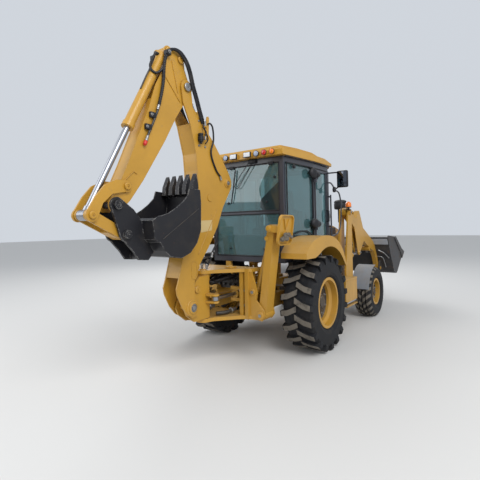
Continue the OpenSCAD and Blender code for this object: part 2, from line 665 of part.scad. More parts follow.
module cab_interior() {
    paint(black) {
        translate([0, 0, cab_floor + 20]) linear_extrude(30) intersection() {
            cab_plan(post_w + 1);
            square([4 * cab_front, 2 * (arch_y - 20) - 2], center = true);
        }
        // Transmission hump and seat with its back towards the loader
        box([100, -260, cab_floor + 49], [520, 260, cab_floor + 330]);
        box([60, -250, cab_floor + 329], [560, 250, cab_floor + 450]);
        box([480, -230, cab_floor + 449], [590, 230, cab_floor + 1050]);
        // Front console and steering wheel
        box([820, -200, cab_floor + 49], [930, 200, cab_floor + 760]);
        translate([760, 0, cab_floor + 700]) rotate([0, -30, 0]) difference() {
            cylinder(r = 190, h = 30);
            translate([0, 0, -eps]) cylinder(r = 165, h = 40);
        }
        translate([760, 0, cab_floor + 700]) rotate([0, -30, 0]) box([-180, -20, 5], [180, 20, 25]);
    }
}
// Doors between the B posts and the front side posts, hinged at the B posts
door_x0 = cab_b + post_w / 2 + gap;
door_x1 = cab_front - corner_x - post_w / 2 - gap;
door_z1 = roof_z - 80 - gap;
door_bar = 45;
hinge_y = cab_y + 24;
hinge_x = cab_b + 30;
door_foot = [1500, 1450, 1330];
hinge_r = 20;
hinge_z = [1700, 2430];
module door_ring(inset) {
    polygon([[door_x0 + inset, door_foot[0] + inset], [560 + inset, door_foot[1] + inset],
        [740 + inset, door_foot[2] + inset], [door_x1 - inset, door_foot[2] + inset],
        [door_x1 - inset, door_z1 - inset], [door_x0 + inset, door_z1 - inset]]);
}
module door_sill() {
    polygon([[cab_b, cab_floor + 1], [door_x1 + 10, cab_floor + 1], [door_x1 + 10, door_foot[2] - gap],
        [740, door_foot[2] - gap], [560, door_foot[1] - gap], [cab_b, door_foot[0] - gap]]);
}
module door(side) {
    paint(black) side_of(-side) {
        plate(cab_y - 40, 40) difference() {
            door_ring(0);
            door_ring(door_bar);
        }
        for (z = hinge_z) difference() {
            union() {
                translate([hinge_x, hinge_y, z + 1]) cylinder(r = hinge_r, h = 48);
                box([door_x0 + 4, cab_y - 1, z + 1], [door_x0 + 70, hinge_y + 8, z + 49]);
            }
            translate([hinge_x, hinge_y, z]) cylinder(r = hinge_r / 2 + pin_fit, h = 50);
        }
        box([door_x1 - 40, cab_y - 1, 1780], [door_x1 - 10, cab_y + 40, 1960]);
    }
}
module door_glass(side) {
    paint(glass) side_of(-side) plate(cab_y - 24, glass_t) door_ring(door_bar);
}

// Loader arms: two cranked side arms with a cross tube between them
arm_end_r = 62;
arm_root_r = 78;
cross_tube = [2815, 1240];
cross_r = 48;
cyl_eye = 60;
tilt_y = arm_y - arm_t / 2 - 65;
lug_t = 10;
module arm_side() {
    difference() {
        union() {
            translate(arm_pin) circle(arm_root_r);
            translate(bucket_pin) circle(arm_end_r);
            translate(cross_tube) circle(52);
            polygon([arm_pin + [-38, -68], arm_pin + [34, 70], [2200, 1765], [2700, 1545], [3080, 1370],
                [3175, 1285], [3315, 1070], bucket_pin + [52, 34], bucket_pin + [-54, -30], [3300, 870],
                [3215, 1030], [3090, 1170], [2880, 1240], [2700, 1305], [2400, 1440], [2000, 1640]]);
        }
        translate(arm_pin) circle(pin_r + pin_fit);
    }
}
module loader_arms() {
    paint(yellow) {
        sides() {
            plate(arm_y - arm_t / 2, arm_t) arm_side();
            // Lugs under the arm, either side of the lift cylinder's eye
            for (y = [arm_y - arm_t / 2, arm_y + arm_t / 2 - lug_t]) plate(y, lug_t) lift_lug();
            for (y = [arm_y - arm_t / 2 - 10, arm_y + arm_t / 2 - 1]) disc(lift_head, 40, y, y + 11);
            // Tilt cylinder's pin and boss on the arm's inner face
            disc(tilt_foot, pin_r - 4, tilt_y - cyl_eye / 2 - 7, arm_y - arm_t / 2 + 1);
            disc(tilt_foot, 46, tilt_y - cyl_eye / 2 - 16, tilt_y - cyl_eye / 2 - 6);
            plate(arm_y - arm_t / 2 + 1, arm_t - 2) polygon([tilt_foot + [-200, -160], tilt_foot + [-45, 20],
                tilt_foot + [-20, 42], tilt_foot + [20, 42], tilt_foot + [45, 20], tilt_foot + [240, -290]]);
            // Bucket pin, held by the arm's end
            disc(bucket_pin, pin_r, arm_y - arm_t / 2 - 50, arm_y + arm_t / 2 + 50);
        }
        disc(cross_tube, cross_r, -arm_y + arm_t / 2 - 1, arm_y - arm_t / 2 + 1);
    }
}
// Lug plate from the arm's lower edge down to the lift cylinder's head
module lift_lug() {
    translate(lift_head) circle(50);
    polygon([lift_head + [-50, 0], [1930, 1690], [2480, 1420], lift_head + [42, -27]]);
}
lift_r = 40;
tilt_r = 36;
lift_l = dist(lift_foot, lift_head);
lift_barrel_l = 1045;
lift_rod_l = 1045;
tilt_l = dist(tilt_foot, tilt_head);
tilt_barrel_l = 960;
tilt_rod_l = 1060;
module at_arm(y) { sides() translate([0, y, 0]) children(); }
module lift_barrels() {
    paint(yellow) at_arm(arm_y) aim(lift_foot, lift_head)
        barrel(lift_barrel_l, lift_r, 20, 52, 66, pin_r + pin_fit);
}
module lift_rods() {
    paint(chrome) at_arm(arm_y) aim(lift_foot, lift_head) translate([lift_l, 0, 0])
        rod(lift_rod_l, 20, 44, arm_t - 2 * lug_t - 2 * side_gap);
}
module tilt_barrels() {
    paint(yellow) at_arm(tilt_y) aim(tilt_foot, tilt_head)
        barrel(tilt_barrel_l, tilt_r, 22, 44, cyl_eye, pin_r - 4 + pin_fit);
}
module tilt_rods() {
    paint(chrome) at_arm(tilt_y) aim(tilt_foot, tilt_head) translate([tilt_l, 0, 0])
        rod(tilt_rod_l, 22, 40, 44);
}

// Loader bucket: rolled shell between side plates, with its edge, cutters, ears and spill guard
shell_t = 16;
edge_t = 26;
// Section in the bucket's own frame
floor_z = -340;
heel_r = 240;
back_x = 100;
lip_x = 990;
mouth_z = 700;
module bucket_out(d) {
    translate([back_x + heel_r, floor_z + heel_r]) circle(heel_r - d);
    polygon([[back_x + heel_r, floor_z + d], [lip_x, floor_z + d], [lip_x - 60, floor_z + 60],
        [600, 400], [back_x + 130, mouth_z - 10], [back_x + 60 + d, mouth_z - 10], [back_x + d, 330],
        [back_x + d, floor_z + heel_r]]);
}
module bucket_sheet() {
    difference() {
        bucket_out(0);
        bucket_out(shell_t);
        polygon([[back_x + heel_r, floor_z + shell_t], [lip_x + 90, floor_z + shell_t], [lip_x + 90, mouth_z + 90],
            [back_x + 120, mouth_z + 90], [back_x + 76, mouth_z - 30], [back_x + shell_t, 330],
            [back_x + shell_t, floor_z + heel_r]]);
    }
}
module loader_bucket() {
    paint(charcoal) translate([bucket_pin[0], 0, bucket_pin[1]]) rotate([0, -bucket_roll, 0]) {
        plate(-bucket_w / 2 + 10, bucket_w - 20) bucket_sheet();
        sides() plate(bucket_w / 2 - 20, 20) bucket_out(0);
        // Cutting edge and the side cutters
        box([lip_x - 160, -bucket_w / 2, floor_z - 12], [lip_x + 70, bucket_w / 2, floor_z + edge_t - 12]);
        sides() plate(bucket_w / 2 - 1, 22) polygon([[lip_x - 190, floor_z - 12], [lip_x + 60, floor_z - 12],
            [lip_x - 90, floor_z + 190], [640, 380], [560, 380], [lip_x - 200, floor_z + 130]]);
        // Ears round the arms' ends and for the tilt cylinders
        sides() {
            for (y = [arm_y - arm_t / 2 - 12 - 26, arm_y + arm_t / 2 + 12]) plate(y, 26) difference() {
                union() {
                    circle(64);
                    polygon([[-30, -56], [back_x + 60, -150], [back_x + 60, 160], [-20, 60]]);
                }
                circle(pin_r + pin_fit);
            }
            for (y = [tilt_y - 22 - side_gap - 20, tilt_y + 22 + side_gap]) plate(y, 20)
                polygon([tilt_ear + [-48, -20], tilt_ear + [-30, 40], tilt_ear + [20, 46], [back_x + 8, 560],
                    [back_x + 8, 300], tilt_ear + [-10, -52]]);
            for (y = [tilt_y - 22 - side_gap - 30, tilt_y + 22 + side_gap + 20]) disc(tilt_ear, 32, y, y + 10);
        }
    }
}

// Swing cylinders: barrels fixed under the cab by their trunnions, rods to the swing post's arms
swing_cyl_y = 175;
swing_cyl_z = 850;
swing_arm = [-swing_x + 20, swing_cyl_y];
swing_gland = -rear_face + 40;
swing_barrel_l = 520;
module swing_barrels() {
    paint(yellow) sides() {
        difference() {
            disc_x([swing_cyl_y, swing_cyl_z], 55, swing_gland, swing_gland + swing_barrel_l);
            disc_x([swing_cyl_y, swing_cyl_z], 28, swing_gland + 50, swing_gland + swing_barrel_l - 60);
            disc_x([swing_cyl_y, swing_cyl_z], 24 + pin_fit, swing_gland - eps, swing_gland + 51);
        }
        // Trunnion caps that bolt to the rear frame's wall
        for (z = [swing_cyl_z - 95, swing_cyl_z + 50])
            box([-rear_face + plate_t, swing_cyl_y - 60, z], [swing_gland + 70, window_y + 40, z + 45]);
    }
}
module swing_rod(side) {
    paint(chrome) side_of(-side) translate([swing_arm[0], swing_arm[1], swing_cyl_z]) {
        disc_x([0, 0], 24, 40, swing_gland - swing_arm[0] + 270);
        translate([0, 0, -22]) cylinder(r = 46, h = 44);
    }
}

// Swing post: two plates between the pivot bosses, with arms for the swing cylinders
post_t = 25;
boss_r = 80;
module post_side() {
    difference() {
        union() {
            polygon([[-swing_x + 20, post_bottom - 30], [-swing_x + 20, post_top + 10], [-1570, post_top + 10],
                [-1640, post_top - 40], [-1690, 960], [-1800, 860], [-1830, 780], [-1790, 700],
                [-1670, post_bottom - 30]]);
            translate(boom_cyl_foot) circle(60);
        }
        translate(boom_foot) circle(boom_pin_r + pin_fit);
    }
}
boom_pin_r = 38;
module swing_post() {
    paint(yellow) difference() {
        union() {
            sides() plate(post_y - post_t, post_t) post_side();
            translate([-swing_x, 0, rear_frame_bottom + ear_t + 4])
                cylinder(r = boss_r, h = rear_frame_top - rear_frame_bottom - 2 * ear_t - 8);
            // Pins in the frame's ears
            translate([-swing_x, 0, rear_frame_bottom - 12])
                cylinder(r = swing_r, h = rear_frame_top - rear_frame_bottom + 24);
            // Webs between the plates, behind the pivot
            box([-1640, -post_y, post_bottom - 30], [-swing_x, post_y, post_bottom + 10]);
            box([-1530, -post_y, post_top - 30], [-swing_x, post_y, post_top + 10]);
            disc(boom_cyl_foot, pin_r, -post_y - 6, post_y + 6);
            // Arms of the swing cylinders, above and below the rod's eye
            for (z = [swing_cyl_z - 22 - side_gap - 24, swing_cyl_z + 22 + side_gap]) translate([0, 0, z])
                linear_extrude(24) union() {
                    polygon([[-swing_x - 60, -60], [swing_arm[0] - 50, -swing_arm[1]], [swing_arm[0] + 30, -swing_arm[1] - 30],
                        [-swing_x + 70, 0], [swing_arm[0] + 30, swing_arm[1] + 30], [swing_arm[0] - 50, swing_arm[1]],
                        [-swing_x - 60, 60]]);
                    for (s = [-1, 1]) translate([swing_arm[0], s * swing_arm[1]]) circle(50);
                }
        }
        // The boss is cut away round each rod's eye
        for (s = [-1, 1]) translate([swing_arm[0], s * swing_arm[1], swing_cyl_z - 22 - side_gap])
            cylinder(r = 62, h = 44 + 2 * side_gap);
    }
}

// Boom: two side plates with top and bottom sheets between them, forked at its foot
boom_sheet = 14;
module boom_line() {
    polygon([[-1640, 690], [-1690, 900], [-1690, 1100], [-1630, 1240], [-1430, 1480], [-1260, 1720],
        [-1150, 1960], [-1000, 2180], [-960, 2260], [-960, 2330], [-1010, 2420], [-1170, 2620],
        [-1320, 2790], [-1690, 3140], [-1715, 3320], [-1790, 3430], [-1880, 3350], [-1850, 3160],
        [-1735, 2930], [-1640, 2600], [-1620, 2400], [-1590, 1950], [-1650, 1720], [-1790, 1540],
        [-1880, 1370], [-1950, 1130], [-1985, 1035], [-1970, 960], [-1890, 810], [-1800, 710], [-1730, 670]]);
}
module boom_side() {
    boom_line();
    translate(boom_foot) circle(105);
    translate(boom_tip) circle(85);
    translate(stick_cyl_foot) circle(90);
}
// The sheet that closes the boom along its rear edge, set in a little from the plates' edges
sheet_inset = 3;
module boom_rear_sheet() {
    intersection() {
        difference() {
            offset(delta = -sheet_inset) boom_line();
            offset(delta = -sheet_inset - boom_sheet) boom_line();
        }
        polygon([[-2100, 1150], [-1850, 1150], [-1700, 1500], [-1500, 1720], [-1450, 2000], [-1480, 2400],
            [-1500, 2750], [-1600, 2940], [-2100, 2940]]);
    }
}
// Web under the stick cylinder, as [x0, z0, x1, z1]
boom_web = [-1260, 2460, -1569, 2978];
module strip(a, t, w) {
    translate([a[0], 0, a[1]]) rotate([0, -atan2(a[3] - a[1], a[2] - a[0]), 0])
        translate([-t / 2, -w, -t - sheet_inset]) cube([norm([a[2] - a[0], a[3] - a[1]]) + t, 2 * w, t]);
}
module boom() {
    paint(yellow) {
        sides() plate(boom_in, boom_t) boom_side();
        plate(-boom_in - 1, 2 * boom_in + 2) boom_rear_sheet();
        strip(boom_web, boom_sheet, boom_in + 1);
        // Pins at the boom cylinder's head, the foot and the tip
        disc(boom_foot, boom_pin_r, -boom_w / 2 - 14, boom_w / 2 + 14);
        sides() disc(boom_cyl_head, 46, boom_in - 14, boom_w / 2 + 8);
        disc(stick_cyl_foot, pin_r, -boom_w / 2 - 12, boom_w / 2 + 12);
        disc(boom_tip, pin_r, -boom_w / 2 - 12, boom_w / 2 + 12);
    }
}
boom_cyl_r = 50;
boom_cyl_l = dist(boom_cyl_foot, boom_cyl_head);
boom_barrel_l = 960;
boom_rod_l = 1030;
module boom_barrel() {
    paint(yellow) aim(boom_cyl_foot, boom_cyl_head)
        barrel(boom_barrel_l, boom_cyl_r, 30, 55, 2 * (post_y - post_t - side_gap), pin_r + pin_fit);
}
module boom_rod() {
    paint(chrome) aim(boom_cyl_foot, boom_cyl_head) translate([boom_cyl_l, 0, 0])
        rod(boom_rod_l, 30, 50, 2 * (boom_in - 14 - side_gap));
}
stick_cyl_l = dist(stick_cyl_foot, stick_cyl_head);
stick_barrel_l = 980;
stick_rod_l = 1030;
module stick_barrel() {
    paint(yellow) aim(stick_cyl_foot, stick_cyl_head)
        barrel(stick_barrel_l, boom_cyl_r, 30, 52, 2 * (boom_in - side_gap), pin_r + pin_fit);
}
module stick_rod() {
    paint(chrome) aim(stick_cyl_foot, stick_cyl_head) translate([stick_cyl_l, 0, 0])
        rod(stick_rod_l, 30, 48, 2 * (stick_ear_in - side_gap));
}

// Stick: a box of side plates and sheets, forked at its head for the two cylinders
stick_sheet = 12;
module stick_side() {
    difference() {
        union() {
            polygon([[-1800, 3172], [-1720, 3330], [-1735, 3420], [-1800, 3560], [-1810, 3660], [-1870, 3712],
                [-1960, 3735], [-2055, 3745], [-2105, 3700], [-2105, 3560], [-2150, 3420], [-2240, 3250],
                [-2342, 2961], [-2600, 2363], [-2700, 2150], [-2822, 1960], [-2800, 1890], [-2700, 1872],
                [-2574, 1995], [-2415, 2204], [-2113, 2666], [-1946, 2958]]);
            translate(boom_tip) circle(78);
            translate(hoe_cyl_foot) circle(58);
            translate(stick_cyl_head) circle(66);
            translate(stick_end) circle(72);
        }
        translate(boom_tip) circle(pin_r + pin_fit);
        translate(stick_end) circle(pin_r + pin_fit);
    }
}
stick_sheets = [[-2342, 2961, -2292, 3095], [-2600, 2363, -2342, 2961], [-2700, 2150, -2600, 2363],
    [-2415, 2204, -2574, 1995], [-2113, 2666, -2415, 2204], [-1946, 2958, -2113, 2666], [-1870, 3069, -1946, 2958]];
module stick() {
    paint(yellow) {
        sides() plate(stick_ear_in, stick_t) stick_side();
        for (s = stick_sheets) strip(s, stick_sheet, stick_ear_in + 1);
        disc(rocker_pin, pin_r - 4, -stick_half - rocker_t - 2 * side_gap, stick_half + rocker_t + 2 * side_gap);
        sides() disc(stick_cyl_head, 40, stick_half - 1, stick_half + 8);
        disc(hoe_cyl_foot, pin_r - 4, -stick_half - 8, stick_half + 8);
    }
}
hoe_cyl_r = 56;
hoe_cyl_l = dist(hoe_cyl_foot, rocker_end);
hoe_barrel_l = 1070;
hoe_rod_l = 1250;
module hoe_barrel() {
    paint(yellow) aim(hoe_cyl_foot, rocker_end)
        barrel(hoe_barrel_l, hoe_cyl_r, 32, 50, 2 * (stick_ear_in - side_gap), pin_r - 4 + pin_fit);
}
module hoe_rod() {
    paint(chrome) aim(hoe_cyl_foot, rocker_end) translate([hoe_cyl_l, 0, 0])
        rod(hoe_rod_l, 32, 52, 2 * (link_in - side_gap));
}
// Bucket linkage: two curved rockers outside the stick and a link between them
rocker_t = 22;
rocker_y = stick_half + side_gap;
link_t = 20;
link_half = stick_half - 6;
link_in = link_half - link_t;
module rocker_side() {
    difference() {
        union() {
            translate(rocker_pin) circle(58);
            translate(rocker_end) circle(62);
            polygon([rocker_pin + [10, 57], [-2760, 2180], [-2880, 2120], [-2975, 2010], rocker_end + [-62, 10],
                rocker_end + [50, -38], [-2900, 1950], [-2800, 2040], rocker_pin + [-20, -56]]);
        }
        translate(rocker_pin) circle(pin_r - 4 + pin_fit);
    }
}
module hoe_rocker() {
    paint(yellow) sides() {
        plate(rocker_y, rocker_t) rocker_side();
        disc(rocker_end, pin_r - 4, link_in - 3, rocker_y + rocker_t + 8);
    }
}
module link_side() {
    difference() {
        union() {
            translate(rocker_end) circle(54);
            polygon([rocker_end + [30, 46], link_end + [10, 50], link_end + [-10, -52], rocker_end + [-34, -44]]);
            translate(link_end) circle(52);
        }
        translate(rocker_end) circle(pin_r - 4 + pin_fit);
    }
}
module hoe_link() {
    paint(yellow) {
        sides() plate(link_in, link_t) link_side();
        plate(-link_in - 1, 2 * link_in + 2) polygon([link_end + [-150, 60], link_end + [10, 50],
            link_end + [-10, -52], link_end + [-170, 20]]);
    }
}
// Hoe bucket with its coupler plates, pinned at the stick's end
plate_in = stick_half + side_gap;
coupler_t = 24;
hoe_side = [[-2464, 1791], [-2400, 1826], [-2245, 1868], [-2140, 1925], [-2040, 1995], [-1965, 2065],
    [-1938, 2150], [-1766, 2140], [-1752, 1990], [-1758, 1690], [-1820, 1548], [-1930, 1440], [-2070, 1392],
    [-2231, 1418], [-2300, 1480], [-2360, 1567], [-2434, 1600]];
module hoe_bucket() {
    paint(charcoal) {
        difference() {
            plate(-hoe_w / 2, hoe_w) polygon(hoe_side);
            plate(-hoe_w / 2 + 14, hoe_w - 28) difference() {
                offset(delta = -14) polygon(hoe_side);
            }
            // The mouth, open along the top edge
            plate(-hoe_w / 2 + 14, hoe_w - 28) polygon([[-2400, 1790], [-2240, 1830], [-2125, 1890], [-2030, 1960],
                [-1955, 2040], [-1900, 2125], [-1780, 2110], [-1780, 2200], [-2000, 2300], [-2400, 2100], [-2460, 1860]]);
        }
        // Lip and teeth
        for (y = [-hoe_w / 2 + 60 : (hoe_w - 120) / 4 : hoe_w / 2 - 59])
            plate(y - 28, 56) polygon([[-1800, 2080], [-1860, 2100], [-1850, 2200], [-1790, 2330], [-1760, 2200], [-1766, 2080]]);
        // Ears and coupler plates
        sides() plate(plate_in, coupler_t) difference() {
            union() {
                translate(stick_end) circle(72);
                polygon([stick_end + [-60, -40], stick_end + [30, 66], [-2560, 1900], [-2465, 1790], [-2430, 1600],
                    [-2370, 1560], [-2310, 1470], [-2380, 1390], [-2500, 1400], [-2560, 1480], link_end + [-70, -20]]);
                translate(link_end) circle(72);
            }
        }
        disc(stick_end, pin_r, -plate_in - coupler_t - 10, plate_in + coupler_t + 10);
        sides() disc(link_end, 40, plate_in + coupler_t - 1, plate_in + coupler_t + 10);
        disc([-2400, 1440], 45, -plate_in - 1, plate_in + 1);
        plate(-plate_in - 1, 2 * plate_in + 2) polygon([[-2480, 1660], [-2434, 1780], [-2434, 1600], [-2380, 1540], [-2440, 1500]]);
    }
}

// Stabilizers: a channel leg hinged along the machine, its cylinder inside, and a flip pad
leg_t = 100;
leg_skin = 14;
stab_mid = -stab_back + stab_w / 2;
stab_cyl_r = 38;
module stabilizer(side) {
    paint(yellow) side_of(-side) {
        translate([0, stab_hinge[0], stab_hinge[1]]) rotate([-stab_lean, 0, 0]) {
            difference() {
                union() {
                    box([-stab_back, -leg_t / 2, 60], [-stab_back + stab_w, leg_t / 2, stab_l - 60]);
                    disc_x([0, 0], 62, -stab_back, -stab_back + stab_w);
                    box([-stab_back, -leg_t / 2, 0], [-stab_back + stab_w, leg_t / 2, 80]);
                    disc_x([0, stab_l], 48, -stab_back, -stab_back + stab_w);
                    box([-stab_back, -48, stab_l - 80], [-stab_back + stab_w, 48, stab_l]);
                }
                // Channel open towards the machine, for the cylinder
                box([-stab_back + leg_skin, -leg_t, 90], [-stab_back + stab_w - leg_skin, leg_t / 2 - leg_skin, stab_l - 70]);
                disc_x([0, 0], pin_r + pin_fit, -stab_back - 1, -stab_back + stab_w + 1);
            }
            disc_x([0, stab_l], 22, -stab_back - 70, -stab_back + stab_w + 70);
            disc_x(stab_ear, 30, -stab_back - 8, -stab_back + 1);
            disc_x(stab_ear, 30, -stab_back + stab_w - 1, -stab_back + stab_w + 6);
        }
    }
}
pad_w = 340;
pad_h = 370;
pad_r = 70;
pad_y = 140;
pad_t = 12;
pad_rim = 34;
module pad_shape(d) { offset(r = pad_r - d) square([pad_w - 2 * pad_r, pad_h - 2 * pad_r], center = true); }
// Flip pad: a dished plate with a rim and ribs in a V, between two lugs at its pin
module stab_pad(side) {
    paint(yellow) side_of(-side) translate([0, stab_top[0], stab_top[1]]) rotate([-stab_lean, 0, 0]) {
        difference() {
            union() {
                translate([stab_mid, pad_y, 0]) rotate([-90, 0, 0]) {
                    linear_extrude(pad_t) pad_shape(0);
                    linear_extrude(pad_rim) difference() {
                        pad_shape(0);
                        pad_shape(14);
                    }
                    for (a = [-24, 24]) rotate([0, 0, a]) translate([0, -pad_h * 0.4, pad_t - 1])
                        translate([-6, 0, 0]) cube([12, pad_h * 0.8, pad_rim - pad_t - 4]);
                }
                for (x = [-stab_back - 44, -stab_back + stab_w + 2 * gap]) {
                    box([x, 0, -40], [x + 26, pad_y + 1, 40]);
                    disc_x([0, 0], 40, x, x + 26);
                }
            }
            disc_x([0, 0], 22 + pin_fit, -stab_back - 80, -stab_back + stab_w + 80);
        }
    }
}
stab_cyl_l = dist(stab_cyl_foot, stab_cyl_head);
stab_barrel_l = 590;
stab_rod_l = 610;
module stab_barrel(side) {
    paint(yellow) side_of(-side) aim_x(stab_mid, stab_cyl_foot, stab_cyl_head)
        barrel(stab_barrel_l, stab_cyl_r, 20, 40, 110, 25 + pin_fit);
}
module stab_rod(side) {
    paint(chrome) side_of(-side) aim_x(stab_mid, stab_cyl_foot, stab_cyl_head)
        translate([stab_cyl_l, 0, 0]) rod(stab_rod_l, 20, 36, 90);
}

chassis();
loader_towers();
rear_frame();
engine();
hood();
grille();
side_boxes();
axles();
rear_fenders();
cab_frame();
cab_posts();
cab_top();
mirrors();
cab_roof();
cab_glass();
cab_interior();
swing_barrels();
door(1);  // door_l
door_glass(1);  // door_l_glass
door(-1);  // door_r
door_glass(-1);  // door_r_glass
knuckle(1);  // knuckle_l
knuckle(-1);  // knuckle_r
tyre_front(1);  // tyre_front_l
tyre_front(-1);  // tyre_front_r
tyre_rear(1);  // tyre_rear_l
tyre_rear(-1);  // tyre_rear_r
rim_front(1);  // rim_front_l
rim_front(-1);  // rim_front_r
rim_rear(1);  // rim_rear_l
rim_rear(-1);  // rim_rear_r
loader_arms();
loader_bucket();
lift_barrels();
lift_rods();
tilt_barrels();
tilt_rods();
swing_post();
swing_rod(1);  // swing_rod_l
swing_rod(-1);  // swing_rod_r
boom();
boom_barrel();
boom_rod();
stick();
stick_barrel();
stick_rod();
hoe_rocker();
hoe_link();
hoe_bucket();
hoe_barrel();
hoe_rod();
stabilizer(1);  // stabilizer_l
stabilizer(-1);  // stabilizer_r
stab_pad(1);  // stab_pad_l
stab_pad(-1);  // stab_pad_r
stab_barrel(1);  // stab_barrel_l
stab_barrel(-1);  // stab_barrel_r
stab_rod(1);  // stab_rod_l
stab_rod(-1);  // stab_rod_r
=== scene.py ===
"""Looks of the backhoe loader, dressed over its CAD frame."""
import math
import random

import bmesh
import bpy
from mathutils import Matrix, Vector


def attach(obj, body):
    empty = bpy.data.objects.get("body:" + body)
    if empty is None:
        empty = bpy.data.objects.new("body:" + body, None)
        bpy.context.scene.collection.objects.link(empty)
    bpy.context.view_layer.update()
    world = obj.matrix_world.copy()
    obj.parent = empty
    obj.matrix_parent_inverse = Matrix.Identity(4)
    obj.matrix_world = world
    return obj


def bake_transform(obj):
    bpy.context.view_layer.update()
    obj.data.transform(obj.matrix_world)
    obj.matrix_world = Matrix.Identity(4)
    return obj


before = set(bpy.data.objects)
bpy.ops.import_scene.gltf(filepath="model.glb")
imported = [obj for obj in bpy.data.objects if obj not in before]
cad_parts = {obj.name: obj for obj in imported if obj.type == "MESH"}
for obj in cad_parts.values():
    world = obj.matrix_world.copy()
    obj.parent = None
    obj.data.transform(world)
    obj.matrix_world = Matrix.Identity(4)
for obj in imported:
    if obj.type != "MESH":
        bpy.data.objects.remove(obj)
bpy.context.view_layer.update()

# Where the rear axle stands in the frame, in metres along X
REAR_AXLE_X = -0.700
UP = Vector((0, 0, 1))
FORWARD = Vector((1, 0, 0))
LEFT = Vector((0, 1, 0))
BOTH_SIDES = (1, -1)
SIDES = ((1, "l"), (-1, "r"))
# Wheels as (x of the axle, radius), in millimetres from the rear axle
REAR_WHEEL = (0, 650)
FRONT_WHEEL = (2350, 460)
# Side boxes between the wheels, in millimetres from the rear axle
BOX_X = (770, 1290)
BOX_Y = 1010
BOX_Z = (500, 830)


def at(x, y, z):
    """A point given in millimetres from the ground below the rear axle."""
    return Vector((x / 1000 + REAR_AXLE_X, y / 1000, z / 1000))


def places(points):
    """Points given the same way."""
    return [at(*point) for point in points]


# ---- Shader node groups

def feed(tree, socket, given):
    """Links an output to a socket, or gives the socket a plain value."""
    if isinstance(given, bpy.types.NodeSocket):
        tree.links.new(given, socket)
    else:
        socket.default_value = given


def new_group(name, inputs):
    """A shader node group with named float inputs and a mask as its output."""
    tree = bpy.data.node_groups.new(name, "ShaderNodeTree")
    for label, value in inputs:
        socket = tree.interface.new_socket(label, in_out="INPUT", socket_type="NodeSocketFloat")
        socket.default_value = value
    tree.interface.new_socket("Mask", in_out="OUTPUT", socket_type="NodeSocketFloat")
    return tree, tree.nodes.new("NodeGroupInput").outputs, tree.nodes.new("NodeGroupOutput").inputs["Mask"]


def own_place(tree):
    """The piece's own coordinates."""
    return tree.nodes.new("ShaderNodeTexCoord").outputs["Object"]


def axes(tree, vector):
    """A vector's X, Y and Z."""
    split = tree.nodes.new("ShaderNodeSeparateXYZ")
    tree.links.new(vector, split.inputs["Vector"])
    return split.outputs


def noise(tree, scale, detail, roughness, stretch=None):
    """Noise over the piece's own coordinates; scale is a number or a socket."""
    texture = tree.nodes.new("ShaderNodeTexNoise")
    texture.inputs["Detail"].default_value = detail
    texture.inputs["Roughness"].default_value = roughness
    source = own_place(tree)
    if stretch:
        mapping = tree.nodes.new("ShaderNodeMapping")
        mapping.inputs["Scale"].default_value = stretch
        tree.links.new(source, mapping.inputs["Vector"])
        source = mapping.outputs["Vector"]
    tree.links.new(source, texture.inputs["Vector"])
    feed(tree, texture.inputs["Scale"], scale)
    return texture.outputs["Fac"]


def ramp(tree, value, low, high, to_low=0.0, to_high=1.0):
    """Maps a value from low..high to to_low..to_high, clamped."""
    node = tree.nodes.new("ShaderNodeMapRange")
    tree.links.new(value, node.inputs["Value"])
    for socket, given in (("From Min", low), ("From Max", high), ("To Min", to_low), ("To Max", to_high)):
        feed(tree, node.inputs[socket], given)
    return node.outputs["Result"]


def arithmetic(tree, operation, a, b=0.0, clamp=False):
    node = tree.nodes.new("ShaderNodeMath")
    node.operation = operation
    node.use_clamp = clamp
    for socket, given in zip(node.inputs, (a, b)):
        feed(tree, socket, given)
    return node.outputs["Value"]


def from_axle(tree, place, given):
    """Offsets along X and Z from a group's centre, and their length."""
    dx = arithmetic(tree, "SUBTRACT", place["X"], given["Centre X"])
    dz = arithmetic(tree, "SUBTRACT", place["Z"], given["Centre Z"])
    square = arithmetic(tree, "ADD", arithmetic(tree, "MULTIPLY", dx, dx), arithmetic(tree, "MULTIPLY", dz, dz))
    return dx, dz, arithmetic(tree, "SQRT", square)


def make_grime_group():
    """Blotches of dried mud and oil, thicker near the ground."""
    tree, given, out = new_group("grime", [("Scale", 4.0), ("Start", 0.5), ("Full", 0.75), ("Ground", 0.5)])
    blotch = ramp(tree, noise(tree, given["Scale"], 8, 0.68), given["Start"], given["Full"])
    low = ramp(tree, axes(tree, own_place(tree))["Z"], 0.2, 1.7, 1.0, 0.0)
    splash = arithmetic(tree, "MULTIPLY", low, given["Ground"])
    streak = ramp(tree, noise(tree, 9.0, 6, 0.7, (1, 1, 0.25)), 0.38, 0.72)
    splash = arithmetic(tree, "MULTIPLY", splash, streak)
    tree.links.new(arithmetic(tree, "MAXIMUM", blotch, splash, True), out)
    return tree


def make_dust_group():
    """Pale dust that settles on faces that look up."""
    tree, given, out = new_group("settled_dust", [("Scale", 5.0), ("Amount", 0.6)])
    shape = tree.nodes.new("ShaderNodeNewGeometry")
    facing_up = ramp(tree, axes(tree, shape.outputs["Normal"])["Z"], 0.35, 0.95)
    patchy = ramp(tree, noise(tree, given["Scale"], 6, 0.6), 0.3, 0.7, 0.25, 1.0)
    mask = arithmetic(tree, "MULTIPLY", facing_up, patchy)
    tree.links.new(arithmetic(tree, "MULTIPLY", mask, given["Amount"], True), out)
    return tree


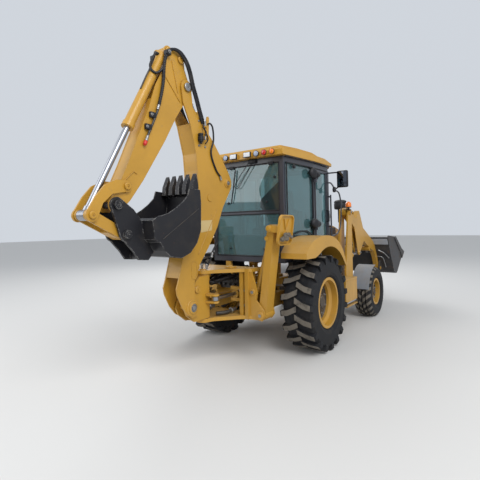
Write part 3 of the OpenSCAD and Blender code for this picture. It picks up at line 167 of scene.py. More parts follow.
def make_edge_wear_group():
    """Rubbed edges: where a rounded normal leaves the face's own, broken up by noise."""
    tree, given, out = new_group("edge_wear", [("Width", 0.006), ("Amount", 0.6)])
    rounded = tree.nodes.new("ShaderNodeBevel")
    rounded.samples = 3
    tree.links.new(given["Width"], rounded.inputs["Radius"])
    shape = tree.nodes.new("ShaderNodeNewGeometry")
    dot = tree.nodes.new("ShaderNodeVectorMath")
    dot.operation = "DOT_PRODUCT"
    tree.links.new(rounded.outputs["Normal"], dot.inputs[0])
    tree.links.new(shape.outputs["Normal"], dot.inputs[1])
    edge = ramp(tree, dot.outputs["Value"], 0.99, 0.86)
    mask = arithmetic(tree, "MULTIPLY", edge, ramp(tree, noise(tree, 22.0, 6, 0.7), 0.46, 0.6))
    tree.links.new(arithmetic(tree, "MULTIPLY", mask, given["Amount"], True), out)
    return tree


def make_outer_ring_group():
    """A mask that is 1 further than a radius from an axle line across the machine."""
    tree, given, out = new_group("outside_radius", [("Centre X", 0.0), ("Centre Z", 0.0), ("Radius", 0.5)])
    distance = from_axle(tree, axes(tree, own_place(tree)), given)[2]
    tree.links.new(arithmetic(tree, "GREATER_THAN", distance, given["Radius"]), out)
    return tree


def make_tread_bar_group():
    """A mask of slanted tread bars round a tyre, mirrored about the tyre's middle."""
    tree, given, out = new_group("tread_bars", [("Centre X", 0.0), ("Centre Y", 0.0), ("Centre Z", 0.0),
                                                ("Count", 20.0), ("Slant", 4.0), ("Radius", 0.4)])
    place = axes(tree, own_place(tree))
    dx, dz, distance = from_axle(tree, place, given)
    turns = arithmetic(tree, "MULTIPLY", arithmetic(tree, "ARCTAN2", dz, dx), 0.15915)
    off = arithmetic(tree, "SUBTRACT", arithmetic(tree, "ABSOLUTE", place["Y"]), given["Centre Y"])
    side_shift = arithmetic(tree, "MULTIPLY", arithmetic(tree, "GREATER_THAN", off, 0.0), 0.5)
    slant = arithmetic(tree, "MULTIPLY", arithmetic(tree, "ABSOLUTE", off), given["Slant"])
    phase = arithmetic(tree, "ADD", arithmetic(tree, "MULTIPLY", turns, given["Count"]), slant)
    phase = arithmetic(tree, "FRACT", arithmetic(tree, "ADD", phase, side_shift))
    off_middle = arithmetic(tree, "ABSOLUTE", arithmetic(tree, "SUBTRACT", phase, 0.5))
    bar = ramp(tree, off_middle, 0.20, 0.26, 1.0, 0.0)
    outer = ramp(tree, distance, given["Radius"], arithmetic(tree, "ADD", given["Radius"], 0.012))
    tree.links.new(arithmetic(tree, "MULTIPLY", bar, outer), out)
    return tree


GROUPS = {
    "grime": make_grime_group(),
    "dust": make_dust_group(),
    "edge_wear": make_edge_wear_group(),
    "outside_radius": make_outer_ring_group(),
    "tread_bars": make_tread_bar_group(),
}


# ---- Materials

DRIED_MUD = (0.20, 0.145, 0.09)
PALE_DUST = (0.36, 0.31, 0.24)
RUBBED_PAINT = (0.10, 0.075, 0.055)
RUST = (0.16, 0.07, 0.03)
YELLOW = (0.51, 0.268, 0.027)
ARM_YELLOW = (0.50, 0.262, 0.026)
RIM_YELLOW = (0.50, 0.265, 0.030)
UNDERSIDE_BLACK = (0.022, 0.022, 0.024)
FENDER_GREY = (0.20, 0.23, 0.27)
# How far out the front tyres' middle is, in metres
FRONT_TYRE_Y = 0.880


class Finish:
    """A material whose plain values sit on its own shader, with masks laid over its colour."""

    def __init__(self, name, colour, roughness, metallic=0.0, coat=0.0, specular=0.5, transmission=0.0):
        self.material = bpy.data.materials.new(name)
        self.material.use_nodes = True
        self.tree = self.material.node_tree
        self.shader = self.tree.nodes["Principled BSDF"]
        self.colour = (*colour, 1.0)
        self.rough = roughness
        for socket, value in (("Base Color", self.colour), ("Roughness", roughness), ("Metallic", metallic),
                              ("Coat Weight", coat), ("Specular IOR Level", specular),
                              ("Transmission Weight", transmission)):
            self.shader.inputs[socket].default_value = value

    def effect(self, kind, **values):
        node = self.tree.nodes.new("ShaderNodeGroup")
        node.node_tree = GROUPS[kind]
        for label, value in values.items():
            node.inputs[label.replace("_", " ")].default_value = value
        return node.outputs["Mask"]

    def outside(self, wheel, radius):
        """What lies further than a radius in millimetres from a wheel's axle line."""
        return self.effect("outside_radius", Centre_X=wheel[0] / 1000 + REAR_AXLE_X, Centre_Z=wheel[1] / 1000,
                           Radius=radius / 1000)

    def mixed(self, mask, first, second, data_type):
        """Goes from one value to another as the mask goes from 0 to 1."""
        mix = self.tree.nodes.new("ShaderNodeMix")
        mix.data_type = data_type
        self.tree.links.new(mask, mix.inputs["Factor"])
        feed(self.tree, mix.inputs["A"], first)
        mix.inputs["B"].default_value = second
        return mix.outputs["Result"]

    def cover(self, mask, colour, roughness=None):
        """Lays another colour, and its roughness, over the finish where the mask is 1."""
        self.colour = self.mixed(mask, self.colour, (*colour, 1.0), "RGBA")
        self.tree.links.new(self.colour, self.shader.inputs["Base Color"])
        if roughness is not None:
            self.rough = self.mixed(mask, self.rough, roughness, "FLOAT")
            self.tree.links.new(self.rough, self.shader.inputs["Roughness"])
        return self

    def grime(self, scale, start, full, ground, colour, roughness=None):
        mask = self.effect("grime", Scale=scale, Start=start, Full=full, Ground=ground)
        return self.cover(mask, colour, roughness)

    def dust(self, scale, amount, colour=PALE_DUST):
        return self.cover(self.effect("dust", Scale=scale, Amount=amount), colour, 0.9)

    def rubbed(self, width, amount, colour, roughness):
        return self.cover(self.effect("edge_wear", Width=width, Amount=amount), colour, roughness)

    def bump(self, scale, strength, distance=0.002, rounding=0.0):
        """Fine relief, over a rounded edge where rounding is given."""
        node = self.tree.nodes.new("ShaderNodeBump")
        node.inputs["Strength"].default_value = strength
        node.inputs["Distance"].default_value = distance
        self.tree.links.new(noise(self.tree, scale, 6, 0.6), node.inputs["Height"])
        if rounding:
            bevel = self.tree.nodes.new("ShaderNodeBevel")
            bevel.samples = 3
            bevel.inputs["Radius"].default_value = rounding
            self.tree.links.new(bevel.outputs["Normal"], node.inputs["Normal"])
        self.tree.links.new(node.outputs["Normal"], self.shader.inputs["Normal"])
        return self


def painted(name, colour, roughness=0.42, mud=0.35, dust=0.35, wear=0.5, coat=0.15):
    """Sprayed paint with dried mud, settled dust and rubbed edges."""
    paint = Finish(name, colour, roughness, coat=coat)
    paint.grime(1.6, 0.42, 0.95, 0.0, tuple(channel * 0.72 for channel in colour))
    paint.grime(7.0, 0.62, 0.86, mud, DRIED_MUD, 0.85).dust(5.0, dust).rubbed(0.005, wear, RUBBED_PAINT, 0.6)
    return paint.bump(60.0, 0.12, 0.0006, rounding=0.003).material


def knuckle_finish(name):
    """Black steering fork with its grey fender."""
    paint = Finish(name, UNDERSIDE_BLACK, 0.5)
    paint.cover(paint.outside(FRONT_WHEEL, 492), FENDER_GREY, 0.42)
    paint.grime(7.0, 0.6, 0.85, 0.6, DRIED_MUD, 0.85).dust(5.0, 0.4)
    return paint.bump(60.0, 0.1, 0.0006, rounding=0.003).material


def rim_finish(name, wheel, disc_radius):
    """A yellow rim round a disc that is black with grease and brake dust."""
    rim = Finish(name, (0.024, 0.024, 0.026), 0.5, coat=0.1)
    rim.cover(rim.outside(wheel, disc_radius), RIM_YELLOW, 0.42)
    rim.grime(7.0, 0.60, 0.85, 0.4, DRIED_MUD, 0.85).rubbed(0.005, 0.4, RUBBED_PAINT, 0.6)
    return rim.bump(60.0, 0.12, 0.0006, rounding=0.003).material


def tyre_finish(name, wheel, tread_radius, bar_radius=None):
    """Black rubber with dried dust on its lugs, or on bars drawn over a ribbed tread."""
    tyre = Finish(name, (0.010, 0.011, 0.014), 0.6, specular=0.22)
    tyre.grime(3.0, 0.45, 0.85, 0.30, (0.032, 0.029, 0.026), 0.9)
    tread = tyre.outside(wheel, tread_radius)
    tyre.cover(tread, (0.160, 0.142, 0.118) if bar_radius is None else (0.035, 0.032, 0.030), 0.95)
    if bar_radius is not None:
        bars = tyre.effect("tread_bars", Centre_X=wheel[0] / 1000 + REAR_AXLE_X, Centre_Y=FRONT_TYRE_Y,
                           Centre_Z=wheel[1] / 1000, Count=22.0, Slant=6.0, Radius=bar_radius / 1000)
        tyre.cover(bars, (0.175, 0.155, 0.128), 0.95)
    return tyre.grime(13.0, 0.50, 0.74, 0.0, (0.040, 0.037, 0.034), 0.9).bump(90.0, 0.35, 0.0015).material


charcoal = Finish("bucket_charcoal", (0.034, 0.034, 0.038), 0.5, specular=0.35)
charcoal.grime(3.5, 0.45, 0.8, 0.35, (0.090, 0.075, 0.060), 0.8).grime(14.0, 0.6, 0.7, 0.0, RUST, 0.85)
charcoal.rubbed(0.012, 0.9, (0.30, 0.28, 0.26), 0.35).bump(35.0, 0.3, 0.001, rounding=0.004)
hoe_dark = Finish("hoe_bucket_black", (0.014, 0.014, 0.017), 0.42, specular=0.32)
hoe_dark.grime(5.0, 0.52, 0.85, 0.2, (0.040, 0.035, 0.030), 0.8).grime(17.0, 0.66, 0.74, 0.0, RUST, 0.85)
hoe_dark.rubbed(0.012, 1.0, (0.34, 0.33, 0.31), 0.35).bump(35.0, 0.25, 0.001, rounding=0.004)
zinc = Finish("zinc_steel", (0.33, 0.33, 0.33), 0.42, metallic=0.9)
zinc.grime(30.0, 0.5, 0.8, 0.1, (0.12, 0.10, 0.08), 0.7)
oily = Finish("oily_steel", (0.035, 0.034, 0.034), 0.35, metallic=0.3)
oily.grime(12.0, 0.45, 0.75, 0.4, (0.10, 0.075, 0.05), 0.75)
hose_black = Finish("hose_rubber", (0.010, 0.010, 0.013), 0.42, specular=0.35)
hose_black.grime(16.0, 0.5, 0.8, 0.1, (0.050, 0.043, 0.037), 0.85)
plastic = Finish("black_plastic", (0.013, 0.013, 0.016), 0.5, specular=0.35)
plastic.dust(9.0, 0.35, (0.20, 0.18, 0.15)).bump(240.0, 0.2, 0.0004)
soil = Finish("clinging_soil", (0.115, 0.095, 0.072), 0.97)
soil.grime(20.0, 0.4, 0.7, 0.0, (0.20, 0.175, 0.14)).bump(70.0, 1.0, 0.006)

FINISHES = {
    "yellow": painted("construction_yellow", YELLOW),
    "yellow_arm": painted("arm_yellow", ARM_YELLOW, mud=0.25, dust=0.3, wear=0.5),
    "black_paint": painted("frame_black_paint", (0.036, 0.038, 0.050), 0.34, mud=0.2, dust=0.2, wear=0.3),
    "under_paint": painted("underside_black", UNDERSIDE_BLACK, 0.55, mud=0.8, dust=0.7, wear=0.4, coat=0),
    # Pale bluish grey: the side boxes' steps in their own grey; on the loader bucket's spill guard it is painted sky
    # sheen
    "grey_and_sky_sheen": painted("step_grey_and_guard_sky_sheen", (0.38, 0.41, 0.46), 0.45, mud=0.1, dust=0.2, wear=0.3),
    "band": painted("pale_band", (0.58, 0.43, 0.19), 0.4, mud=0.1, dust=0.2, wear=0.1),
    "knuckle_l": knuckle_finish("knuckle_paint_l"),
    "knuckle_r": knuckle_finish("knuckle_paint_r"),
    "rim_rear": rim_finish("rear_rim_paint", REAR_WHEEL, 262),
    "rim_front": rim_finish("front_rim_paint", FRONT_WHEEL, 166),
    "rubber": tyre_finish("rear_tyre_rubber", REAR_WHEEL, 645),
    "rubber_front": tyre_finish("front_tyre_rubber", FRONT_WHEEL, 450, 405),
    "charcoal": charcoal.material,
    "hoe_dark": hoe_dark.material,
    "zinc": zinc.material,
    "oily": oily.material,
    "hose": hose_black.material,
    "plastic": plastic.material,
    "soil": soil.material,
    "chrome": Finish("chrome_rod", (0.34, 0.35, 0.38), 0.33, metallic=1.0).material,
    "seat": Finish("seat_cloth", (0.028, 0.028, 0.031), 0.9).bump(300.0, 0.5, 0.0012).material,
    "glass": Finish("tinted_glass", (0.17, 0.33, 0.35), 0.015, coat=0.5, transmission=0.72).material,
    "mirror": Finish("mirror_glass", (0.09, 0.10, 0.12), 0.04, metallic=1.0).material,
    "lamp_clear": Finish("lamp_clear", (0.56, 0.58, 0.60), 0.12, coat=0.4).material,
    "lamp_blue": Finish("lamp_blue_white", (0.30, 0.35, 0.46), 0.12, coat=0.4).material,
    # Dark teal laid on the rear pane as painted shade of the cab's inside
    "painted_cab_shade": Finish("painted_cab_shade", (0.020, 0.034, 0.037), 0.10, coat=0.4).material,
    "lamp_red": Finish("lamp_red", (0.50, 0.012, 0.010), 0.18, coat=0.7).material,
    "lamp_orange": Finish("lamp_orange", (0.80, 0.19, 0.010), 0.2, coat=0.7).material,
    "red_cap": Finish("red_cap", (0.55, 0.02, 0.015), 0.45).material,
}

# Finish of each node of the frame that stays in view
NODE_FINISH = {
    "yellow": "chassis loader_towers hood side_boxes rear_fenders cab_roof swing_barrels",
    "yellow_arm": "rear_frame loader_arms lift_barrels tilt_barrels swing_post boom boom_barrel stick "
                  "stick_barrel hoe_rocker hoe_link hoe_barrel stabilizer_l stabilizer_r stab_pad_l "
                  "stab_pad_r stab_barrel_l stab_barrel_r",
    "knuckle_l": "knuckle_l",
    "knuckle_r": "knuckle_r",
    "rim_rear": "rim_rear_l rim_rear_r",
    "rim_front": "rim_front_l rim_front_r",
    "black_paint": "grille cab_frame cab_posts cab_top mirrors door_l door_r",
    "under_paint": "axles cab_interior",
    "charcoal": "loader_bucket",
    "hoe_dark": "hoe_bucket",
    "oily": "engine",
    "glass": "cab_glass door_l_glass door_r_glass",
    "rubber": "tyre_rear_l tyre_rear_r",
    "rubber_front": "tyre_front_l tyre_front_r",
    "chrome": "lift_rods tilt_rods swing_rod_l swing_rod_r boom_rod stick_rod hoe_rod stab_rod_l stab_rod_r",
}


def dress_frame():
    for finish, nodes in NODE_FINISH.items():
        for node in nodes.split():
            mesh = bpy.data.objects[node].data
            mesh.materials.clear()
            mesh.materials.append(FINISHES[finish])


# ---- Ways of making a piece

def add_object(name, data):
    """A new object in the scene."""
    thing = bpy.data.objects.new(name, data)
    bpy.context.scene.collection.objects.link(thing)
    return thing


def mesh_object(name, bm, finish, smooth_angle=None):
    """Turns a bmesh into a smooth object, its edges sharp past the angle where one is given."""
    bmesh.ops.recalc_face_normals(bm, faces=bm.faces)
    mesh = bpy.data.meshes.new(name)
    bm.to_mesh(mesh)
    bm.free()
    for face in mesh.polygons:
        face.use_smooth = True
    if smooth_angle is not None:
        mesh.set_sharp_from_angle(angle=math.radians(smooth_angle))
    mesh.materials.append(FINISHES[finish])
    return add_object(name, mesh)


def make_piece(name, bm, finish, body="machine", smooth_angle=35):
    """Makes a piece of the object that rides on a body."""
    piece = mesh_object(name, bm, finish, smooth_angle)
    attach(piece, body)
    return piece


def basis(normal):
    """Two directions square to a normal."""
    normal = normal.normalized()
    side = normal.cross(UP if abs(normal.z) < 0.9 else FORWARD).normalized()
    return side, normal.cross(side).normalized()


def add_loft(bm, sections, closed=True, caps=True):
    """Joins rings of points with faces."""
    rings = [[bm.verts.new(point) for point in section] for section in sections]
    count = len(rings[0])
    for first, second in zip(rings, rings[1:]):
        for i in range(count if closed else count - 1):
            j = (i + 1) % count
            bm.faces.new((first[i], first[j], second[j], second[i]))
    if caps:
        bm.faces.new(list(reversed(rings[0])))
        bm.faces.new(rings[-1])
    return rings


def add_prism(bm, outline, depth):
    """A flat outline of points, carried along depth."""
    add_loft(bm, [outline, [point + depth for point in outline]])


def add_box(bm, low, high, bevel=0.0):
    """A box between two corners, its edges rounded by bevel."""
    corners = [Vector((x, y, low.z)) for x, y in
               ((low.x, low.y), (high.x, low.y), (high.x, high.y), (low.x, high.y))]
    part = bmesh.new()
    add_prism(part, corners, UP * (high.z - low.z))
    round_edges(part, bevel)
    merge(bm, part)


def round_edges(bm, bevel, segments=2):
    if bevel > 0:
        bmesh.ops.recalc_face_normals(bm, faces=bm.faces)
        sharp = [edge for edge in bm.edges if len(edge.link_faces) == 2 and edge.calc_face_angle(0) > 0.5]
        bmesh.ops.bevel(bm, geom=sharp, offset=bevel, segments=segments, affect="EDGES", profile=0.5,
                        clamp_overlap=True)


def merge(bm, part):
    mesh = bpy.data.meshes.new("part")
    part.to_mesh(mesh)
    part.free()
    bm.from_mesh(mesh)
    bpy.data.meshes.remove(mesh)


def ring_points(centre, side, other, radius, count):
    """A circle in the plane of two directions."""
    return [centre + radius * (math.cos(angle) * side + math.sin(angle) * other)
            for angle in (2 * math.pi * i / count for i in range(count))]


def circle_points(centre, normal, radius, count):
    return ring_points(centre, *basis(normal), radius, count)


def add_turned(bm, centre, axis, profile, count=32):
    """A turned form: profile lists (distance along the axis, radius), in metres."""
    axis = axis.normalized()
    add_loft(bm, [circle_points(centre + axis * along, axis, max(radius, 0.0002), count)
                  for along, radius in profile])


def turned(name, centre, axis, profile, count, finish, body="machine"):
    """A turned form as a piece of its own."""
    bm = bmesh.new()
    add_turned(bm, centre, axis, profile, count)
    make_piece(name, bm, finish, body)


def smooth_path(points, steps=8):
    """A smooth line through the points."""
    line = []
    for i in range(len(points) - 1):
        before = points[max(i - 1, 0)]
        start, end = points[i], points[i + 1]
        after = points[min(i + 2, len(points) - 1)]
        for step in range(steps):
            t = step / steps
            line.append(0.5 * (2 * start + (end - before) * t
                               + (2 * before - 5 * start + 4 * end - after) * t * t
                               + (3 * start - before - 3 * end + after) * t ** 3))
    line.append(points[-1].copy())
    return line


def carried_frames(line):
    """A side and an up direction at each point of a line, carried along without twist."""
    tangents = []
    for i in range(len(line)):
        tangents.append((line[min(i + 1, len(line) - 1)] - line[max(i - 1, 0)]).normalized())
    side, other = basis(tangents[0])
    frames = []
    for tangent in tangents:
        side = (side - tangent * side.dot(tangent)).normalized()
        frames.append((side, tangent.cross(side).normalized(), tangent))
    return frames


def add_tube(bm, line, radius, count=12):
    add_loft(bm, [ring_points(point, side, other, radius, count)
                  for point, (side, other, _) in zip(line, carried_frames(line))])


def tube(name, points, radius, finish, body="machine"):
    """A smooth tube through points given like at's."""
    bm = bmesh.new()
    add_tube(bm, smooth_path(places(points)), radius)
    make_piece(name, bm, finish, body, 60)


def seal(name, corners, radius, body="machine", gap=0.0):
    """A closed seal of straight lengths, a share of each left open at its ends."""
    bm = bmesh.new()
    for start, end in zip(corners, corners[1:] + corners[:1]):
        add_tube(bm, [start.lerp(end, gap), start.lerp(end, 1 - gap)], radius, 8)
    make_piece(name, bm, "hose", body)


def add_bolt(bm, centre, normal, across=0.024, height=0.014, washer=True):
    """A hexagon head on its washer."""
    normal = normal.normalized()
    if washer:
        add_turned(bm, centre, normal, [(-0.002, across * 0.8), (0.003, across * 0.8), (0.0035, across * 0.76)], 18)
    part = bmesh.new()
    add_prism(part, circle_points(centre, normal, across * 0.577, 6), normal * height)
    round_edges(part, across * 0.04, 1)
    merge(bm, part)


def rounded_box(name, low, high, bevel, finish, body="machine"):
    bm = bmesh.new()
    add_box(bm, at(*low), at(*high), bevel)
    make_piece(name, bm, finish, body)


def side_plate(bm, outline, y, thickness, bevel=0.0):
    """A plate in a side view, outline as (x, z) in millimetres, from y to y + thickness."""
    part = bmesh.new()
    add_prism(part, [at(x, y, z) for x, z in outline], LEFT * (thickness / 1000))
    round_edges(part, bevel)
    merge(bm, part)


# ---- Wheels

def around(count, start=0.0):
    """Directions spread evenly round an axle line."""
    return [Vector((math.cos(angle), 0, math.sin(angle)))
            for angle in (2 * math.pi * (i + start) / count for i in range(count))]


def dress_wheel(name, body, side, wheel, face_y, hub_radius, hub_out, nut_ring, disc_radius):
    """Black centre disc, hub, wheel nuts and valve inside a rim."""
    centre = at(wheel[0], side * face_y, wheel[1])
    out = LEFT * side
    r, long, rim = hub_radius / 1000, hub_out / 1000, disc_radius / 1000
    bm = bmesh.new()
    add_turned(bm, centre, out, [(-0.012, rim * 0.97), (-0.004, rim), (0.0, rim), (0.001, rim * 0.955),
                                 (-0.008, rim * 0.93), (-0.008, rim * 0.60), (0.002, rim * 0.54), (0.002, 0.0)], 56)
    add_turned(bm, centre, out, [(-0.02, r * 1.22), (0.012, r * 1.22), (0.018, r * 1.16), (0.02, r * 0.98),
                                 (long * 0.7, r * 0.92), (long * 0.78, r * 0.86), (long * 0.8, r * 0.70),
                                 (long, r * 0.66), (long, r * 0.4), (long * 0.94, r * 0.34), (long * 0.94, 0.0)], 40)
    for direction in around(8):
        add_bolt(bm, centre + out * (long * 0.8) + direction * r * 0.78, out, 0.016, 0.010, False)
    make_piece(name + "_hub", bm, "under_paint", body)
    bm = bmesh.new()
    for direction in around(8, 0.5):
        spot = centre + direction * (nut_ring / 1000)
        add_bolt(bm, spot + out * 0.002, out, 0.027, 0.020)
        add_turned(bm, spot + out * 0.02, out, [(0, 0.009), (0.014, 0.009), (0.016, 0.007)], 12)
    make_piece(name + "_nuts", bm, "zinc", body)
    turned(name + "_valve", centre + Vector((0.5, 0, 0.86)) * rim * 0.88 - out * 0.01, out,
           [(0, 0.009), (0.03, 0.008), (0.032, 0.005), (0.05, 0.005)], 10, "hose", body)


def dress_wheels():
    for side, tag in SIDES:
        dress_wheel("rear_wheel_" + tag, "wheel_rear_" + tag, side, REAR_WHEEL, 897, 112, 60, 190, 266)
        dress_wheel("front_wheel_" + tag, "wheel_front_" + tag, side, FRONT_WHEEL, 940, 74, 45, 122, 203)


# ---- Pins and bosses

def pin_cap(bm, x, y_face, z, side, radius, thickness=0.016):
    """A turned pin head with a lubrication fitting in its middle."""
    centre = at(x, y_face, z)
    out = LEFT * side
    add_turned(bm, centre, out, [(-0.004, radius), (thickness * 0.7, radius), (thickness, radius * 0.86),
                                 (thickness, radius * 0.45), (thickness * 0.8, radius * 0.4),
                                 (thickness * 0.8, 0.0)], 32)
    add_turned(bm, centre + out * (thickness * 0.8), out, [(0, 0.006), (0.01, 0.006), (0.016, 0.003)], 10)


# Pins as (piece, body, x, half width over the plates, z, head radius, finish)
PINS = [
    ("boom_tip_pins", "boom", -1790, 124, 3350, 0.050, "zinc"),
    ("boom_cylinder_foot_pins", "swing_post", -1620, 86, 980, 0.042, "yellow_arm"),
    ("stick_cylinder_head_pins", "stick", -1870, 96, 3650, 0.044, "yellow_arm"),
    ("hoe_cylinder_foot_pins", "stick", -2055, 96, 3690, 0.040, "yellow_arm"),
    ("rocker_pins", "stick", -2639, 126, 2125, 0.036, "yellow_arm"),
    ("rocker_end_pins", "hoe_rocker", -3010, 126, 1840, 0.036, "yellow_arm"),
    ("bucket_pins", "hoe_bucket", -2752, 138, 1942, 0.046, "hoe_dark"),
    ("link_end_pins", "hoe_bucket", -2645, 138, 1658, 0.042, "hoe_dark"),
]
# Bolted bosses as (piece, body, x, face y, z, boss radius, bolt width), each on both sides
BOSSES = [
    ("boom_foot_boss", "boom", -1730, 112, 790, 0.098, 0.060),
    ("stick_cylinder_foot_boss", "boom", -1050, 112, 2290, 0.062, 0.034),
    ("loader_pivot_boss", "machine", 1580, 819, 1950, 0.060, 0.030),
    ("loader_lift_head_boss", "loader_arms", 2150, 776, 1200, 0.050, 0.028),
]


def bolted_boss(name, body, x, y_face, z, radius, bolt):
    """Stepped round bosses with a domed bolt in a recess, one on each side."""
    rings = bmesh.new()
    studs = bmesh.new()
    for side in BOTH_SIDES:
        centre = at(x, side * y_face, z)
        out = LEFT * side
        add_turned(rings, centre, out,
                   [(-0.004, radius), (0.005, radius), (0.009, radius * 0.95), (0.010, radius * 0.74),
                    (0.022, radius * 0.70), (0.026, radius * 0.64), (0.026, radius * 0.50), (0.018, radius * 0.48),
                    (0.018, 0.0)], 40)
        add_bolt(studs, centre + out * 0.020, out, bolt, 0.016)
        add_turned(studs, centre + out * 0.034, out,
                   [(0, bolt * 0.4), (0.006, bolt * 0.36), (0.008, bolt * 0.2), (0.008, 0)], 20)
    make_piece(name, rings, "yellow_arm", body)
    make_piece(name + "_bolts", studs, "zinc", body)


def dress_pins():
    for name, body, x, half, z, radius, finish in PINS:
        bm = bmesh.new()
        for side in BOTH_SIDES:
            pin_cap(bm, x, side * half, z, side, radius)
        make_piece(name, bm, finish, body)
    for boss in BOSSES:
        bolted_boss(*boss)


# ---- Hydraulic hoses and pipes

# Hoses and pipes on one body, as (piece, body, radius in mm, finish, points from the rear axle in mm)
HOSES = [
    ("stick_guarded_hose", "stick", 16, "hose",
     [(-2096, -112, 3640), (-2128, -114, 3560), (-2146, -114, 3430), (-2152, -114, 3326), (-2176, -112, 3185),
      (-2216, -110, 3030)]),
    ("stick_pipe", "stick", 12, "oily",
     [(-2222, -110, 3000), (-2240, -110, 2955), (-2310, -110, 2800), (-2377, -110, 2660)]),
    ("stick_pipe_far", "stick", 12, "oily",
     [(-2150, 112, 3500), (-2160, 110, 3300), (-2216, 110, 3030), (-2310, 110, 2800), (-2377, 110, 2660)]),
    ("boom_side_hose", "boom", 11, "hose",
     [(-1452, -138, 2985), (-1410, -142, 3000), (-1362, -140, 2950), (-1344, -134, 2800), (-1382, -128, 2679),
      (-1368, -126, 2581), (-1289, -126, 2439), (-1205, -126, 2362)]),
    ("valve_elbow", "boom", 9, "hose",
     [(-1538, -136, 2965), (-1540, -150, 2915), (-1512, -160, 2870), (-1524, -158, 2815)]),
    ("valve_drain", "boom", 7, "hose",
     [(-1504, -140, 2882), (-1462, -136, 2840), (-1449, -134, 2790), (-1500, -134, 2735)]),
    ("boom_foot_hose_1", "boom", 12, "hose",
     [(-1330, -80, 1640), (-1270, -92, 1590), (-1256, -92, 1516), (-1319, -90, 1435), (-1345, -88, 1392)]),
    ("boom_foot_hose_2", "boom", 12, "hose",
     [(-1330, 60, 1640), (-1262, 70, 1590), (-1250, 70, 1516), (-1319, 72, 1425), (-1345, 70, 1380)]),
]
# Hose ends and fittings as (body, point, direction, radius in mm)
FITTINGS = [
    ("stick", (-2218, -110, 3032), (-0.35, 0, -1), 12), ("stick", (-2372, -110, 2668), (-0.42, 0, -1), 12),
    ("boom", (-1209, -126, 2366), (0.4, 0, -1), 11), ("boom", (-1341, -90, 1400), (-0.3, 0, -1), 13),
    ("boom", (-1345, 70, 1386), (-0.3, 0, -1), 13), ("boom", (-1498, -132, 2952), (-0.1, 0, 1), 14),
    ("swing_post", (-1400, -44, 1198), (0, 0, 1), 13), ("swing_post", (-1400, 36, 1198), (0, 0, 1), 13),
    ("boom", (-1526, -158, 2818), (0, 0, -1), 9), ("boom", (-1500, -105, 2952), (-0.1, 0, 1), 14),
]


def dress_valve():
    """The lock valve on the boom's side, its bracket and the bulkhead the hoses end in."""
    bm = bmesh.new()
    add_turned(bm, at(-1590, -142, 2846), Vector((0.05, 0, -1)),
               [(0, 0.022), (0.002, 0.030), (0.024, 0.030), (0.028, 0.024), (0.034, 0.024), (0.036, 0.036),
                (0.082, 0.036), (0.086, 0.030), (0.100, 0.030), (0.104, 0.018), (0.126, 0.018), (0.128, 0.010)], 24)
    add_box(bm, at(-1600, -140, 2752), at(-1540, -112, 2806), 0.004)
    make_piece("lock_valve", bm, "plastic", "boom")
    bm = bmesh.new()
    outline = [(-1488, 2930), (-1452, 3080), (-1428, 3092), (-1412, 3070), (-1424, 2800), (-1446, 2790), (-1478, 2830)]
    side_plate(bm, outline, -126, 13, 0.002)
    add_box(bm, at(-1532, -146, 2936), at(-1466, -96, 2952), 0.003)
    make_piece("hose_bracket", bm, "yellow_arm", "boom")
    bm = bmesh.new()
    for spot in places([(-1592, -112, 3000), (-1592, -112, 2700), (-1480, -112, 2700)]):
        add_bolt(bm, spot, -LEFT, 0.018, 0.012)
    make_piece("valve_bolts", bm, "zinc", "boom")


def dress_stick_clamps():
    blocks = bmesh.new()
    studs = bmesh.new()
    for x, z in ((-2300, 2905), (-2362, 2765)):
        for side in BOTH_SIDES:
            centre = at(x, side * 106, z)
            add_box(blocks, centre - Vector((0.040, 0.016, 0.030)), centre + Vector((0.040, 0.016, 0.030)), 0.005)
            add_bolt(studs, centre + Vector((-0.022, side * 0.016, 0)), LEFT * side, 0.020, 0.012)
    for side in BOTH_SIDES:
        centre = at(-2088, side * 112, 3648)
        add_box(blocks, centre - Vector((0.034, 0.028, 0.024)), centre + Vector((0.034, 0.028, 0.024)), 0.006)
        add_bolt(studs, centre + Vector((0.006, side * 0.026, 0.012)), LEFT * side, 0.026, 0.014)
    make_piece("hose_clamps", blocks, "plastic", "stick")
    make_piece("hose_clamp_bolts", studs, "zinc", "stick")
    turned("red_cap", at(-2396, -110, 2612), Vector((-0.42, 0, -1)),
           [(0, 0.017), (0.003, 0.020), (0.040, 0.020), (0.046, 0.015), (0.052, 0.008), (0.058, 0.0)],
           20, "red_cap", "stick")
    # Spiral guard round the first hose
    line = smooth_path(places(HOSES[0][4]), 40)
    spiral = [point + 0.017 * (math.cos(i * 1.05) * side + math.sin(i * 1.05) * other)
              for i, (point, (side, other, _)) in enumerate(zip(line, carried_frames(line)))]
    bm = bmesh.new()
    add_tube(bm, spiral, 0.004, 5)
    make_piece("hose_spiral_guard", bm, "plastic", "stick")


def dress_boom_side():
    """Pale band, pressed slot and weld seam on the boom's sides."""
    for side, tag in SIDES:
        bm = bmesh.new()
        outline = [at(x, side * 112.2, z) for x, z in ((-1572, 1797), (-1359, 1806), (-1373, 1678), (-1575, 1653))]
        add_prism(bm, outline, LEFT * side * 0.0012)
        make_piece("boom_band_" + tag, bm, "band", "boom")
        bm = bmesh.new()
        loop = []
        for i in range(33):
            angle = 2 * math.pi * i / 32
            lift = 60 if math.sin(angle) > 0 else -60
            loop.append(at(-1700 + 44 * math.cos(angle), side * 112, 1218 + 44 * math.sin(angle) + lift))
        add_tube(bm, loop, 0.0055, 6)
        seam = [at(x, side * 112, z) for x, z in ((-1276, 1933), (-1347, 1819), (-1490, 1600), (-1622, 1396))]
        add_tube(bm, smooth_path(seam, 6), 0.006, 6)
        make_piece("boom_seams_" + tag, bm, "yellow_arm", "boom")


